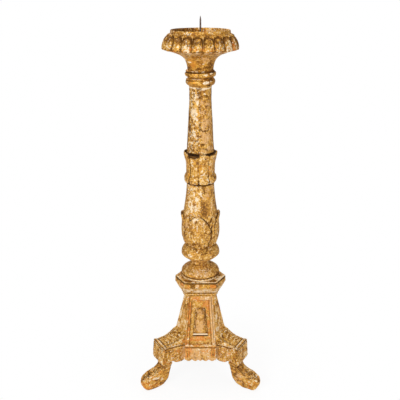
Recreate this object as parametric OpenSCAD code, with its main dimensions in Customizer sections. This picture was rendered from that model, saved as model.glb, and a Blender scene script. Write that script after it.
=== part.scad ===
// Torchere candle stand: a pricket dish on a turned and carved gilt column,
// standing on a three-sided pedestal with canted corners and three carved feet.
// Millimetres. Z is up, the column's axis is x = y = 0 and the soles stand on z = 0.
// The front is the -Y side.

/* [Candle spike] */
// Radius of the spike's free shank
spike_r = 2.05; // [1.6:0.05:2.6]
// Height of the spike above the floor of the dish
spike_free = 41; // [30:1:60]
// Length of the spike's point
spike_point = 11; // [6:1:20]
// Radius of the tang that is driven into the neck
tang_r = 3.2; // [2.8:0.1:4]
// Length of the tang below the floor of the dish
tang_len = 30; // [20:1:33]

/* [Drip dish] */
// Height of the dish from its seat on the neck to the rim
dish_h = 48; // [44:1:56]
// Radius of the dish at the foot of its lobes
dish_r = 87.4; // [82:0.2:95]
// Radius of the plain collar under the rim
dish_collar_r = 67; // [65.5:0.1:70]
// Height of the plain collar
dish_collar_h = 7.5; // [5:0.5:10]
// Radius of the well that catches the wax
well_r = 63; // [55:0.5:64]
// Depth of the well
well_depth = 12; // [8:0.5:14]
// Number of carved lobes round the dish
lobe_count = 21; // [16:1:26]
// Depth of the valleys between the lobes
lobe_depth = 4.5; // [2:0.5:6]
// Radius of the gouge that cut the valleys
gouge_r = 3; // [2:0.1:4]

/* [Neck] */
// Height of the flared neck
bell_h = 38; // [32:1:46]
// Radius of the neck's top flange
bell_top_r = 60; // [54:1:64]
// Radius of the neck's foot
bell_foot_r = 29.3; // [27:0.1:32]
// Height of the upper ring
ring_upper_h = 16; // [12:1:20]
// Radius of the upper ring
ring_upper_r = 35.4; // [32:0.2:40]
// Height of the lower ring
ring_lower_h = 21; // [16:1:26]
// Radius of the lower ring
ring_lower_r = 33.6; // [31.5:0.1:38]

/* [Shafts and collar] */
// Height of the upper shaft
upper_shaft_h = 151; // [120:1:190]
// Radius of the upper shaft at its top
upper_shaft_top_r = 25.4; // [23:0.2:28]
// Radius of the upper shaft at its foot
upper_shaft_foot_r = 32.6; // [30:0.2:33]
// Height of the waisted collar
collar_h = 75; // [60:1:90]
// Radius of the collar's waist
collar_waist_r = 34; // [32:0.2:36]
// Radius of the collar's lips
collar_lip_r = 40; // [38:0.2:44]
// Number of petals round the collar
petal_count = 9; // [6:1:14]
// Depth of the creases between the petals
petal_crease = 1.6; // [0.5:0.1:2.5]
// Height of the lower shaft
lower_shaft_h = 77; // [60:1:100]
// Radius of the lower shaft at its top
lower_shaft_top_r = 32.4; // [30:0.2:35]
// Radius of the lower shaft at its foot
lower_shaft_foot_r = 41; // [38:0.2:42]

/* [Leaf cup and knops] */
// Height of the leaf cup
cup_h = 85; // [70:1:100]
// Radius of the leaf cup over its leaves
cup_r = 47.2; // [46:0.2:54]
// Radius of the leaf tips
leaf_tip_r = 49; // [47:0.2:55]
// Relief of the main leaves over the ground of the cup
leaf_relief = 4.2; // [2:0.1:5]
// Number of large leaves round the cup, with as many small ones between them
leaf_count = 4; // [3:1:6]
// Half width of a large leaf
leaf_half = 31; // [24:0.5:34]
// Half width of a small leaf
small_leaf_half = 15; // [10:0.5:20]
// Height of the torus knop
torus_h = 48; // [36:1:56]
// Radius of the torus knop
torus_r = 47.2; // [44:0.2:54]
// Height of the domed knop
dome_h = 36; // [32:1:48]
// Radius of the domed knop
dome_r = 48.6; // [46:0.2:50]
// Radius of the waist between the two knops
waist_r = 22; // [20:0.5:28]

/* [Joints of the column] */
// Radius of the turned tenons
tenon_r = 13; // [10:0.5:15]
// Depth that a tenon enters its last socket
tenon_len = 26; // [18:1:28]
// Length of the neck's tenon in the dish
bell_tenon = 16; // [10:1:20]
// Length of the upper shaft's tenon in the neck
bell_socket = 18; // [12:1:20]
// Length of the domed knop's tenon through the cap and the moulding into the core
dome_tenon = 85; // [75:1:110]
// Radial clearance of the glued joints
glue_gap = 0.1; // [0.05:0.01:0.2]
// Room left under the end of a tenon
end_gap = 1; // [0.5:0.1:2]

/* [Pedestal cap] */
// Thickness of the six-sided cap
cap_h = 17; // [12:0.5:22]
// Distance of the cap's canted corners from the axis
cap_corner = 59.3; // [57:0.1:66]
// Half length of the cap's canted corners
cap_half = 24.6; // [20:0.2:28]
// Height of the moulding under the cap
cap_mould_h = 33; // [28:0.5:42]

/* [Pedestal] */
// Height of the pedestal between the plinth and the moulding
pedestal_h = 120; // [105:1:150]
// Distance of the faces from the axis at the top
face_top = 28.2; // [26.4:0.1:30]
// Distance of the faces from the axis above the flare
face_low = 51; // [46:0.5:54]
// Distance of the corners from the axis at the top
corner_top = 43.8; // [41:0.1:46]
// Distance of the corners from the axis above the flare
corner_low = 58.5; // [55:0.5:62]
// Height of the concave flare at the pedestal's foot
flare_h = 24; // [18:1:30]
// Half width of a face's framed panel at the top
panel_half_top = 31; // [28:0.5:33]
// Half width of a face's framed panel at the bottom
panel_half_low = 39; // [36:0.5:42]
// Thickness of the panels and the corner posts over the core
skin = 8; // [6:0.5:10]
// Width of the raised strips that frame a panel
frame_strip = 10; // [7:0.5:12]
// Depth of the sunk field inside the strips
field_depth = 3; // [1.5:0.1:4]
// How far a tablet stands above the sunk field
tablet_relief = 4; // [2:0.1:5]
// Half width of a tablet at the top
tablet_half_top = 11.5; // [9:0.5:13]
// Half width of a tablet at the bottom
tablet_half_low = 18.5; // [14:0.5:21]
// Height of a tablet
tablet_h = 66; // [50:1:74]
// Height of a tablet's foot above the plinth
tablet_lift = 23; // [16:1:30]
// Depth of the bed that holds a tablet in its panel
tablet_bed = 2; // [1:0.5:3]

/* [Plinth] */
// Height of the plinth's corner blocks
plinth_h = 45; // [38:1:52]
// Distance of the plinth's canted ends from the axis
plinth_corner = 122.6; // [118:0.1:130]
// Half length of the plinth's canted ends
plinth_half = 28.2; // [24:0.2:32]
// Distance of the plinth's projecting middles from the axis
plinth_mid = 68.5; // [66:0.1:72]
// How far the middles stand in front of the hollow sides
plinth_step = 12.5; // [8:0.5:15]
// How far the middles run past the panels' feet
mid_margin = 1; // [0.6:0.1:3]
// Thickness of the board inside the aprons
board_h = 35; // [25:1:38]
// Thickness of the apron boards
apron_t = 11; // [8:0.5:14]
// Height of the apron's scallops above the foot of the corner blocks
apron_rise = 1; // [0:0.5:4]
// How far the hollow parts of the aprons hang below the corner blocks
apron_drop = 6; // [2:0.5:8]
// Radius of the apron's lobes
apron_lobe_r = 8.2; // [6:0.1:9]
// Distance of the inner lobes from the apron's middle
apron_lobe_in = 13; // [10:0.5:15]
// Distance from an inner lobe to the outer one beside it
apron_lobe_gap = 17; // [14:0.5:20]
// Length of a corner block along its corner's direction
block_len = 20; // [16:0.5:24]
// How far the foot of a corner block stands out beyond its top
block_batter = 3.4; // [0:0.2:6]

/* [Feet] */
// Reach of the toes from the axis
toe_reach = 173.5; // [165:0.5:185]
// Length of the toe from its tip back to the instep
toe_len = 28; // [24:1:32]
// Height of the toe's widest point
toe_h = 26; // [20:1:32]
// Half width of a foot at the toe
toe_half = 15; // [12:0.5:18]
// Half width of a foot's sole
sole_half = 7; // [5:0.5:10]
// Height of the feet under the corner blocks
foot_h = 75; // [66:1:86]
// Height of the heel's back
heel_h = 25; // [20:1:30]
// Height at which the back of a foot starts to turn out to its heel
heel_turn_h = 44; // [38:1:50]
// Distance of the heel from the axis
heel_reach = 107; // [102:1:114]
// Distance from the axis to where the soles begin
sole_reach = 137; // [132:1:142]
// Radius of the dowels that hold the feet
dowel_r = 5; // [4:0.5:6]
// Length of the dowels that hold the feet
dowel_len = 50; // [36:1:56]

/* [Hidden] */

// Directions of the three faces and the three corners, anticlockwise from +X
front = 270;
third = 360 / 3;
sixth = third / 2;
rear_right = front + third;
rear_left = front - third;
front_left = front - sixth;
front_right = front + sixth;
rear = front + 180;
corners = [front_left, front_right, rear];

round_fn = 96;
curve_steps = 6;
far = 400;

// Heights of the seats, from the floor up
z_plinth = foot_h;
z_pedestal = z_plinth + plinth_h;
z_mould = z_pedestal + pedestal_h;
z_cap = z_mould + cap_mould_h;
z_dome = z_cap + cap_h;
z_torus = z_dome + dome_h;
z_cup = z_torus + torus_h;
z_lower_shaft = z_cup + cup_h;
z_collar = z_lower_shaft + lower_shaft_h;
z_upper_shaft = z_collar + collar_h;
z_ring_lower = z_upper_shaft + upper_shaft_h;
z_ring_upper = z_ring_lower + ring_lower_h;
z_bell = z_ring_upper + ring_upper_h;
z_dish = z_bell + bell_h;
z_well = z_dish + dish_h - well_depth;

block_in = plinth_corner - block_len;
dowel_place = plinth_corner - block_len / 2;
cap_face = cap_corner * cos(sixth) + cap_half * sin(sixth);
lobe_top = dish_h - dish_collar_h;
lobe_foot = 8;
lobe_turn = 4.3;

gold = "#b98a3c";
worn_gold = "#cfa25a";
bole = "#c98a4a";
bare_wood = "#8a6238";
iron = "#6b6259";

// ---------- shapes ----------

// A cubic curve from a to d, drawn towards b and c
function curve(a, b, c, d, steps = curve_steps) =
    [for (i = [0:steps])
        let (t = i / steps, s = 1 - t)
        s * s * s * a + 3 * s * s * t * b + 3 * s * t * t * c + t * t * t * d];

// Half an ellipse from height z0 to z1 that swells from radius r to r + swell
function bead(r, swell, z0, z1, steps = 2 * curve_steps) =
    [for (i = [0:steps])
        let (a = -90 + 180 * i / steps)
        [r + swell * cos(a), (z0 + z1) / 2 + (z1 - z0) / 2 * sin(a)]];

// A turned solid from an outline of [radius, height] points, bottom to top
module turned(outline, z) {
    last = len(outline) - 1;
    translate([0, 0, z])
        rotate_extrude($fn = round_fn)
            polygon(concat([[0, outline[0][1]]], outline, [[0, outline[last][1]]]));
}

// The tenon of a piece, or with a gap the socket for it
module peg(r, z0, z1) {
    translate([0, 0, z0])
        cylinder(r = r, h = z1 - z0, $fn = round_fn);
}

// Thin upright plates round the axis, which cut creases
module creases(count, width, z0, z1, start = 0) {
    for (i = [0:count - 1])
        rotate([0, 0, start + 360 * i / count])
            translate([0, -width / 2, z0])
                cube([far / 2, width, z1 - z0]);
}

// An outline of [distance, height] points drawn out sideways in direction a,
// solid from the outline back past the axis
module slab(outline, a, half = far) {
    last = len(outline) - 1;
    rotate([0, 0, a])
        translate([0, half, 0])
            rotate([90, 0, 0])
                linear_extrude(2 * half)
                    polygon(concat([[-far, outline[0][1]]], outline, [[-far, outline[last][1]]]));
}

// The solid inside three slabs on the faces and three on the corners
module six_sided(face_outline, corner_outline) {
    intersection() {
        slab(face_outline, front);
        slab(face_outline, rear_right);
        slab(face_outline, rear_left);
        slab(corner_outline, front_left);
        slab(corner_outline, front_right);
        slab(corner_outline, rear);
    }
}

// A symmetric outline of half widths over height, drawn out in direction a
module wedge(half_low, half_top, z0, z1, a) {
    rotate([0, 0, a])
        rotate([90, 0, 90])
            linear_extrude(far)
                polygon([[-half_low, z0], [half_low, z0], [half_top, z1], [-half_top, z1]]);
}

// The third of the plan that faces direction a
module sector(a, z0, z1) {
    rotate([0, 0, a])
        translate([0, 0, z0])
            linear_extrude(z1 - z0)
                polygon([[0, 0], [far, -far * tan(sixth)], [far, far * tan(sixth)]]);
}

// Moves an outline inwards
function inset(outline, d) = [for (p = outline) [p[0] - d, p[1]]];

// ---------- outlines ----------

// One side of the plinth's plan, from its left corner to its middle's left end
side_corner = [plinth_half * cos(sixth) - plinth_corner * sin(sixth),
    -plinth_corner * cos(sixth) - plinth_half * sin(sixth)];
side_hollow = plinth_mid - plinth_step;

function half_side(d, step) =
    let (p = side_corner + d * [tan(15), 1], q = [d - panel_half_low - mid_margin, d - side_hollow])
    concat(curve(p, p + [15, 15.5], q - [20, 7], q), step > 0 ? [q - [0, step]] : []);

function side(d, step) =
    let (h = half_side(d, step), n = len(h))
    concat(h, [for (i = [n - 1:-1:0]) [-h[i][0], h[i][1]]]);

function turn(p, a) = [p[0] * cos(a) - p[1] * sin(a), p[0] * sin(a) + p[1] * cos(a)];

// The plinth's whole plan, drawn in by d, with its middles standing out by step
module plinth_plan(z0, z1, d = 0, step = plinth_step) {
    translate([0, 0, z0])
        linear_extrude(z1 - z0)
            polygon([for (k = [0:2]) for (p = side(d, step)) turn(p, third * k)]);
}

// Everything farther from the axis than d in direction a, between two heights
module beyond(d, a, z0, z1) {
    rotate([0, 0, a])
        translate([d, -far / 2, z0])
            cube([far, far, z1 - z0]);
}

// The pedestal's outlines, from its foot up
flare_top = z_pedestal + flare_h;
lip_h = 3;
face_line = concat(
    [[plinth_mid, z_pedestal], [plinth_mid, z_pedestal + lip_h]],
    curve([plinth_mid - 1.5, z_pedestal + lip_h], [face_low + 7, z_pedestal + lip_h + 2],
        [face_low + 2, flare_top - 8], [face_low, flare_top]),
    [[face_top, z_mould]]
);
corner_line = concat(
    [[plinth_corner, z_pedestal], [plinth_corner, z_pedestal + 1.2]],
    [[plinth_corner - 2, z_pedestal + 2.6], [plinth_corner - 9, z_pedestal + lip_h],
        [plinth_corner - 10.2, z_pedestal + 1.4], [plinth_corner - 12, z_pedestal + lip_h]],
    curve([plinth_corner - 14, z_pedestal + lip_h + 0.4], [corner_low + 28, z_pedestal + lip_h + 2.5],
        [corner_low + 9, flare_top - 10.5], [corner_low, flare_top]),
    [[corner_top, z_mould]]
);
// The posts' fronts lie a little behind the panels and turn out into the flare
post_set = 1;
post_line = [
    [side_hollow + 40, z_pedestal],
    [side_hollow + 40, z_pedestal + 8],
    [face_low + 2, flare_top - 6],
    [face_low - post_set, flare_top],
    [face_top - post_set, z_mould]
];

// ---------- candle spike and dish ----------

module pricket_spike() {
    color(iron)
        union() {
            peg(tang_r, z_well - tang_len, z_well);
            peg(spike_r, z_well, z_well + spike_free - spike_point);
            translate([0, 0, z_well + spike_free - spike_point])
                cylinder(r1 = spike_r, r2 = 0.3, h = spike_point, $fn = round_fn);
        }
}

function lobe_line(d) = concat(
    [[bell_top_r, 0], [dish_r - 10, 4.5]],
    curve([dish_r - 1.5 - d, lobe_foot - 1.5], [dish_r + 0.6 - d, lobe_foot + 8],
        [dish_r - 6 - d, lobe_top - 11], [dish_collar_r + 8 - d, lobe_top - 3.5], 8),
    [[dish_collar_r, lobe_top]]
);

// Straight gouge cuts between the lobes, deepest at mid height
module valleys() {
    bulge = 3.4;
    axis_r = dish_r - bulge + gouge_r - lobe_depth;
    rise = lobe_top - lobe_foot;
    lean = atan((dish_r - dish_collar_r) / rise);
    for (i = [0:lobe_count - 1])
        rotate([0, 0, front + lobe_turn + i * 360 / lobe_count])
            translate([axis_r, 0, z_dish + lobe_foot + rise / 2])
                rotate([0, -lean, 0])
                    cylinder(r = gouge_r, h = 1.6 * rise, center = true, $fn = 32);
}

module drip_dish() {
    rim = dish_h;
    rim_r = (dish_collar_r - well_r) / 2;
    inside = concat(
        lobe_line(0),
        [[dish_collar_r - 0.4, rim - rim_r]],
        [for (a = [30:30:150]) [well_r + rim_r + rim_r * cos(a), rim - rim_r + rim_r * sin(a)]],
        [[well_r, rim - rim_r], [well_r - 1, dish_h - well_depth + 3], [well_r - 4, dish_h - well_depth]]
    );
    color(gold)
        difference() {
            turned(inside, z_dish);
            valleys();
            peg(tenon_r + glue_gap, z_dish - 1, z_dish + bell_tenon + end_gap);
            peg(tang_r + glue_gap, z_dish, z_well + 1);
        }
}

// ---------- neck ----------

module neck_bell() {
    outline = concat(
        curve([bell_foot_r, 0], [bell_foot_r + 1, 12],
            [bell_foot_r + 4, 24], [bell_foot_r + 13, bell_h - 8.5]),
        curve([bell_foot_r + 15, bell_h - 7.2], [bell_foot_r + 20, bell_h - 4],
            [bell_top_r - 6, bell_h - 2.4], [bell_top_r, bell_h - 1.5]),
        [[bell_top_r, bell_h]]
    );
    color(gold)
        difference() {
            union() {
                turned(outline, z_bell);
                peg(tenon_r, z_bell, z_dish + bell_tenon);
            }
            peg(tenon_r + glue_gap, z_bell - 1, z_bell + bell_socket + end_gap);
            peg(tang_r + glue_gap, z_well - tang_len - end_gap, z_well);
        }
}

module neck_ring_upper() {
    color(gold)
        difference() {
            turned(concat([[ring_lower_r - 3, 0]], bead(ring_upper_r - 4, 4, 1, ring_upper_h - 1),
                [[bell_foot_r + 1, ring_upper_h]]), z_ring_upper);
            peg(tenon_r + glue_gap, z_ring_upper - 1, z_bell + 1);
        }
}

module neck_ring_lower() {
    color(gold)
        difference() {
            turned(concat([[upper_shaft_top_r + 1, 0], [upper_shaft_top_r + 1, 2]],
                bead(ring_lower_r - 6, 6, 3, ring_lower_h - 2),
                [[ring_lower_r - 3, ring_lower_h]]), z_ring_lower);
            peg(tenon_r + glue_gap, z_ring_lower - 1, z_ring_upper + 1);
        }
}

// ---------- shafts and collar ----------

module upper_shaft() {
    h = upper_shaft_h;
    outline = concat(
        curve([upper_shaft_foot_r, 0], [upper_shaft_foot_r - 1.8, 12],
            [upper_shaft_top_r + 3, h * 0.45], [upper_shaft_top_r, h - 32]),
        [[upper_shaft_top_r, h]]
    );
    color(worn_gold)
        union() {
            turned(outline, z_upper_shaft);
            peg(tenon_r, z_collar - tenon_len, z_upper_shaft + 1);
            peg(tenon_r, z_ring_lower - 1, z_bell + bell_socket);
        }
}

function collar_line(d) = concat(
    [[collar_lip_r - 3 - d, 0]],
    curve([collar_lip_r - 0.6 - d, 5], [collar_lip_r + 0.4 - d, 14],
        [collar_waist_r - d, 20], [collar_waist_r - d, collar_h / 2]),
    curve([collar_waist_r - d, collar_h / 2 + 2], [collar_waist_r - d, collar_h - 23.5],
        [collar_lip_r - 1.8 - d, collar_h - 15.5], [collar_lip_r - d, collar_h - 4.5], 8)
);

module waisted_collar() {
    hollow = 3;
    color(worn_gold)
        difference() {
            turned(concat(collar_line(0), [[collar_lip_r, collar_h - 3.4], [collar_lip_r - 0.8, collar_h - 1],
                [collar_lip_r - 2.4, collar_h - 0.3], [collar_lip_r - 3.6, collar_h - 0.8],
                [upper_shaft_foot_r + 1, collar_h - hollow - 1.5],
                [upper_shaft_foot_r, collar_h - hollow], [upper_shaft_foot_r, collar_h]]), z_collar);
            difference() {
                creases(petal_count, petal_crease, z_collar - 1, z_upper_shaft + 1, front - 6);
                turned(concat([[collar_lip_r - 3 - petal_crease, -2]], collar_line(petal_crease),
                    [[collar_lip_r - 4 - petal_crease, collar_h + 2]]), z_collar);
            }
            peg(tenon_r + glue_gap, z_collar - 1, z_upper_shaft + 1);
        }
}

module lower_shaft() {
    h = lower_shaft_h;
    outline = curve([lower_shaft_foot_r, 0], [lower_shaft_foot_r - 1.5, 16],
        [lower_shaft_top_r + 3, 26], [lower_shaft_top_r, h]);
    color(worn_gold)
        difference() {
            union() {
                turned(outline, z_lower_shaft);
                peg(tenon_r, z_torus - tenon_len, z_lower_shaft + 1);
            }
            peg(tenon_r + glue_gap, z_collar - tenon_len - end_gap, z_collar + 1);
        }
}

// ---------- leaf cup and knops ----------

function cup_line(d) = concat(
    curve([cup_r - 11.5 - d, 0], [cup_r - 6 - d, 9], [cup_r - 0.5 - d, 22], [cup_r - 0.5 - d, cup_h * 0.46]),
    curve([cup_r - 0.5 - d, cup_h * 0.46 + 3], [cup_r - 1 - d, cup_h * 0.6],
        [cup_r - 4 - d, cup_h * 0.68], [leaf_tip_r - 1 - d, cup_h - 8])
);

// One leaf's outline seen from outside, with its tip at the top
function leaf(w, h) = concat(
    curve([0.5 * w, 0], [0.95 * w, 0.08 * h], [1.08 * w, 0.3 * h], [w, 0.46 * h]),
    curve([0.97 * w, 0.5 * h], [0.9 * w, 0.74 * h], [0.62 * w, 0.84 * h], [0.2 * w, h])
);

module leaf_prism(w, h, a, reach) {
    half = leaf(w, h);
    n = len(half);
    rotate([0, 0, a])
        rotate([90, 0, 90])
            linear_extrude(reach)
                polygon(concat(half, [for (i = [n - 1:-1:0]) [-half[i][0], half[i][1]]]));
}

module leaf_cup() {
    ground = concat(cup_line(leaf_relief), [[lower_shaft_foot_r, cup_h - 6], [lower_shaft_foot_r, cup_h]]);
    over = concat(cup_line(0), [[leaf_tip_r, cup_h - 5], [leaf_tip_r - 1.6, cup_h - 2.4]]);
    between = concat(cup_line(leaf_relief / 2), [[leaf_tip_r - 2, cup_h - 5], [leaf_tip_r - 4, cup_h - 2.4]]);
    pitch = 360 / leaf_count;
    leaf_h = cup_h - 1;
    small_leaf_h = cup_h - 3;
    color(worn_gold)
        difference() {
            union() {
                turned(ground, z_cup);
                intersection() {
                    turned(over, z_cup);
                    translate([0, 0, z_cup])
                        for (k = [0:leaf_count - 1])
                            leaf_prism(leaf_half, leaf_h, front + pitch * k, far / 2);
                }
                intersection() {
                    turned(between, z_cup);
                    translate([0, 0, z_cup])
                        for (k = [0:leaf_count - 1])
                            leaf_prism(small_leaf_half, small_leaf_h, front + pitch * (k + 0.5), far / 2);
                }
            }
            peg(tenon_r + glue_gap, z_cup - 1, z_lower_shaft + 1);
        }
}

module torus_knop() {
    mid = torus_h * 0.53;
    outline = concat(
        [[waist_r, 0]],
        curve([waist_r, 2], [waist_r + 2, 7], [torus_r, mid - 6], [torus_r, mid], 8),
        curve([torus_r, mid + 1], [torus_r, mid + 9], [torus_r - 4, torus_h - 6], [torus_r - 12, torus_h])
    );
    color(worn_gold)
        difference() {
            turned(outline, z_torus);
            peg(tenon_r + glue_gap, z_torus - 1, z_cup + 1);
        }
}

module dome_knop() {
    outline = concat(
        curve([dome_r - 3, 0], [dome_r - 1, 0.6], [dome_r, 2.5], [dome_r, 5], 4),
        curve([dome_r, 6], [dome_r, dome_h * 0.6], [dome_r - 13.6, dome_h - 13.7], [waist_r, dome_h - 2], 8),
        [[waist_r, dome_h]]
    );
    color(worn_gold)
        difference() {
            union() {
                turned(outline, z_dome);
                peg(tenon_r, z_dome - dome_tenon, z_dome + 1);
            }
            peg(tenon_r + glue_gap, z_torus - tenon_len - end_gap, z_torus + 1);
        }
}

// ---------- pedestal ----------

// A plate over a groove and a plain band
function cap_line(r) = [
    [r, z_cap], [r, z_dome - 5.6], [r - 1.4, z_dome - 5], [r - 1.4, z_dome - 4.2], [r, z_dome - 3.6],
    [r, z_dome - 1.6], [r - 1.6, z_dome]
];

module pedestal_cap() {
    color(worn_gold)
        difference() {
            six_sided(cap_line(cap_face), cap_line(cap_corner));
            peg(tenon_r + glue_gap, z_cap - 1, z_dome + 1);
        }
}

// The moulding's outline from the neck out to the cap, over a projection p
function mould_line(r, p) =
    concat(
        [[r + 1.8, z_mould], [r + 1.8, z_mould + 3.5], [r + 3.2, z_mould + 5]],
        [[r + 3.2, z_mould + 9], [r + 5.6, z_mould + 10.5], [r + 5.6, z_mould + 13.5]],
        curve([r + 7, z_mould + 14.5], [r + 9.5, z_mould + 18],
            [r + 0.77 * p, z_cap - 8], [r + p - 1, z_cap], 4)
    );

module cap_moulding() {
    color(worn_gold)
        difference() {
            six_sided(mould_line(face_top, cap_face - face_top),
                mould_line(corner_top, cap_corner - corner_top));
            peg(tenon_r + glue_gap, z_mould - 1, z_cap + 1);
        }
}

// The core's sides run parallel to the pedestal's, a skin's thickness inside
function core_line(low, top, gap) =
    let (in = gap - skin)
    [[low + in, z_pedestal], [low + in, flare_top], [top + in, z_mould]];

module core_block(gap = 0) {
    six_sided(core_line(face_low, face_top, gap), core_line(corner_low, corner_top, gap));
}

module pedestal_core() {
    color(bare_wood)
        difference() {
            core_block();
            peg(tenon_r + glue_gap, z_dome - dome_tenon - end_gap, z_mould + 1);
        }
}

module panel_wedge(a, cut, z0, z1) {
    rise = (z1 - z_pedestal) / pedestal_h;
    drop = (z0 - z_pedestal) / pedestal_h;
    span = panel_half_low - panel_half_top;
    wedge(panel_half_low - span * drop - cut, panel_half_low - span * rise - cut, z0, z1, a);
}

module tablet_wedge(a, cut) {
    wedge(tablet_half_low - cut, tablet_half_top - cut, z_pedestal + tablet_lift + cut,
        z_pedestal + tablet_lift + tablet_h - cut, a);
}

// The room for a panel between two posts, in front of the core
module panel_room(a, gap = 0) {
    difference() {
        panel_wedge(a, gap, z_pedestal, z_mould);
        slab(core_line(face_low, face_top, gap), a);
    }
}

// A face's board: raised strips round a sunk field, with a bed for the tablet.
// It's drawn facing +X and then turned
module panel(a) {
    field_top = z_mould - frame_strip;
    color(bole)
        rotate([0, 0, a])
            difference() {
                intersection() {
                    slab(face_line, 0);
                    panel_room(0, glue_gap);
                }
                difference() {
                    panel_wedge(0, frame_strip, z_pedestal + lip_h, field_top);
                    slab(inset(face_line, field_depth), 0);
                }
                difference() {
                    tablet_wedge(0, 0);
                    slab(inset(face_line, field_depth + tablet_bed), 0);
                }
            }
}

// A tablet stands in its bed with a sunk centre and a bead round it
module tablet(a) {
    bead_w = 3;
    sink = 1.6;
    color(worn_gold)
        rotate([0, 0, a])
            difference() {
                intersection() {
                    slab(inset(face_line, field_depth - tablet_relief), 0);
                    tablet_wedge(0, glue_gap);
                }
                slab(inset(face_line, field_depth + tablet_bed - glue_gap), 0);
                difference() {
                    tablet_wedge(0, bead_w);
                    slab(inset(face_line, field_depth - tablet_relief + sink), 0);
                }
            }
}

// A canted corner post that flares out over its corner block
module post(a) {
    color(worn_gold)
        difference() {
            intersection() {
                slab(corner_line, a);
                slab(post_line, a + sixth);
                slab(post_line, a - sixth);
                plinth_plan(z_pedestal, z_mould, 0, 0);
                beyond(corner_top - skin, a, z_pedestal, z_mould);
            }
            core_block(glue_gap);
            panel_room(a + sixth);
            panel_room(a - sixth);
        }
}

// ---------- plinth ----------

module base_plinth() {
    color(bare_wood)
        intersection() {
            plinth_plan(z_pedestal - board_h, z_pedestal, apron_t + glue_gap);
            six_sided([[far / 2, z_plinth], [far / 2, z_pedestal]],
                [[block_in - glue_gap, z_plinth], [block_in - glue_gap, z_pedestal]]);
        }
}

// Lobes hang along the middle of the apron's foot, and its hollow sides hang lower
module apron(a) {
    low = z_plinth - apron_drop;
    lobe_z = z_plinth + apron_rise + apron_lobe_r / 2;
    inner = apron_lobe_in;
    outer = inner + apron_lobe_gap;
    hollow = outer + apron_lobe_r;
    drop = [[-far / 2, z_plinth], [-hollow - 30, z_plinth], [-hollow - 28, low + 2], [-hollow - 22, low],
        [-hollow - 10, low], [-hollow - 4, low + 3], [-hollow, lobe_z]];
    color(bole)
        difference() {
            intersection() {
                plinth_plan(low, z_pedestal);
                sector(a, low, z_pedestal);
                slab([[block_in - glue_gap, low], [block_in - glue_gap, z_pedestal]], a + sixth);
                slab([[block_in - glue_gap, low], [block_in - glue_gap, z_pedestal]], a - sixth);
                rotate([0, 0, a])
                    rotate([90, 0, 90])
                        union() {
                            linear_extrude(far)
                                polygon(concat([[-far / 2, z_pedestal]], drop,
                                    [for (i = [len(drop) - 1:-1:0]) [-drop[i][0], drop[i][1]]],
                                    [[far / 2, z_pedestal]]));
                            for (x = [-outer, -inner, inner, outer])
                                translate([x, lobe_z + apron_lobe_r / 2, 0])
                                    cylinder(r = apron_lobe_r, h = far, $fn = 32);
                            translate([0, lobe_z + 1, 0])
                                cylinder(r = 0.6 * apron_lobe_r, h = far, $fn = 32);
                        }
            }
            plinth_plan(low - 1, z_pedestal + 1, apron_t);
        }
}

// The stretch of a corner block's sides that runs on beyond the plinth's plan
module wedge_out(a) {
    rotate([0, 0, a])
        translate([plinth_corner - 4, -plinth_half, z_plinth])
            cube([far, 2 * plinth_half, plinth_h]);
}

module block(a) {
    color(worn_gold)
        difference() {
            intersection() {
                union() {
                    plinth_plan(z_plinth, z_pedestal);
                    wedge_out(a);
                }
                slab([[plinth_corner + block_batter, z_plinth], [plinth_corner, z_pedestal]], a);
                beyond(block_in, a, z_plinth, z_pedestal);
            }
            dowel_at(a, dowel_r + glue_gap, dowel_len / 2 + end_gap);
        }
}

// ---------- feet ----------

module dowel_at(a, r, half) {
    rotate([0, 0, a])
        translate([dowel_place, 0, z_plinth - half])
            cylinder(r = r, h = 2 * half, $fn = round_fn);
}

// Side of a foot from its heel, under the toe, over the instep and up to the block
foot_side = concat(
    curve([heel_reach - 3, heel_h - 3], [heel_reach + 2, heel_h / 2],
        [heel_reach + 18, 1.5], [sole_reach, 0]),
    curve([toe_reach - 18, 0], [toe_reach - 8, 3], [toe_reach - 1, toe_h - 14], [toe_reach, toe_h - 3]),
    curve([toe_reach, toe_h], [toe_reach - 2, toe_h + 11.5], [toe_reach - 15, toe_h + 13.5],
        [toe_reach - toe_len + 2, toe_h + 18]),
    curve([toe_reach - toe_len, toe_h + 18.7], [toe_reach - 1.5 * toe_len, toe_h + 22],
        [plinth_corner - 5.5, foot_h - 23], [plinth_corner - 5.5, foot_h - 11]),
    [[plinth_corner + block_batter, foot_h - 1], [plinth_corner + block_batter, foot_h]],
    [[block_in - 6, foot_h]],
    curve([block_in - 7, foot_h - 3], [block_in - 8, foot_h - 22],
        [heel_reach - 9, heel_turn_h], [heel_reach - 4.5, heel_h])
);

// Front of a foot: its half width over height
foot_front = concat(
    [[sole_half, 0]],
    curve([sole_half + 3, 1], [toe_half, 5], [toe_half, 14], [toe_half, 22]),
    curve([toe_half, 26], [toe_half, 42], [toe_half, foot_h - 26], [plinth_half - 9, foot_h - 13]),
    [[plinth_half - 0.5, foot_h - 2], [plinth_half - 0.5, foot_h]]
);

// Plan of a foot: its half width over reach
foot_plan = concat(
    [[block_in - 10, plinth_half], [plinth_corner + block_batter, plinth_half]],
    curve([plinth_corner + 8, plinth_half - 7], [plinth_corner + 20, toe_half + 2],
        [toe_reach - toe_len + 8, toe_half + 1], [toe_reach - toe_len / 2, toe_half - 1]),
    curve([toe_reach - toe_len / 2 + 2, toe_half - 1.5], [toe_reach - 4, toe_half - 3],
        [toe_reach + 0.5, toe_half - 8], [toe_reach + 0.5, 3])
);

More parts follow.
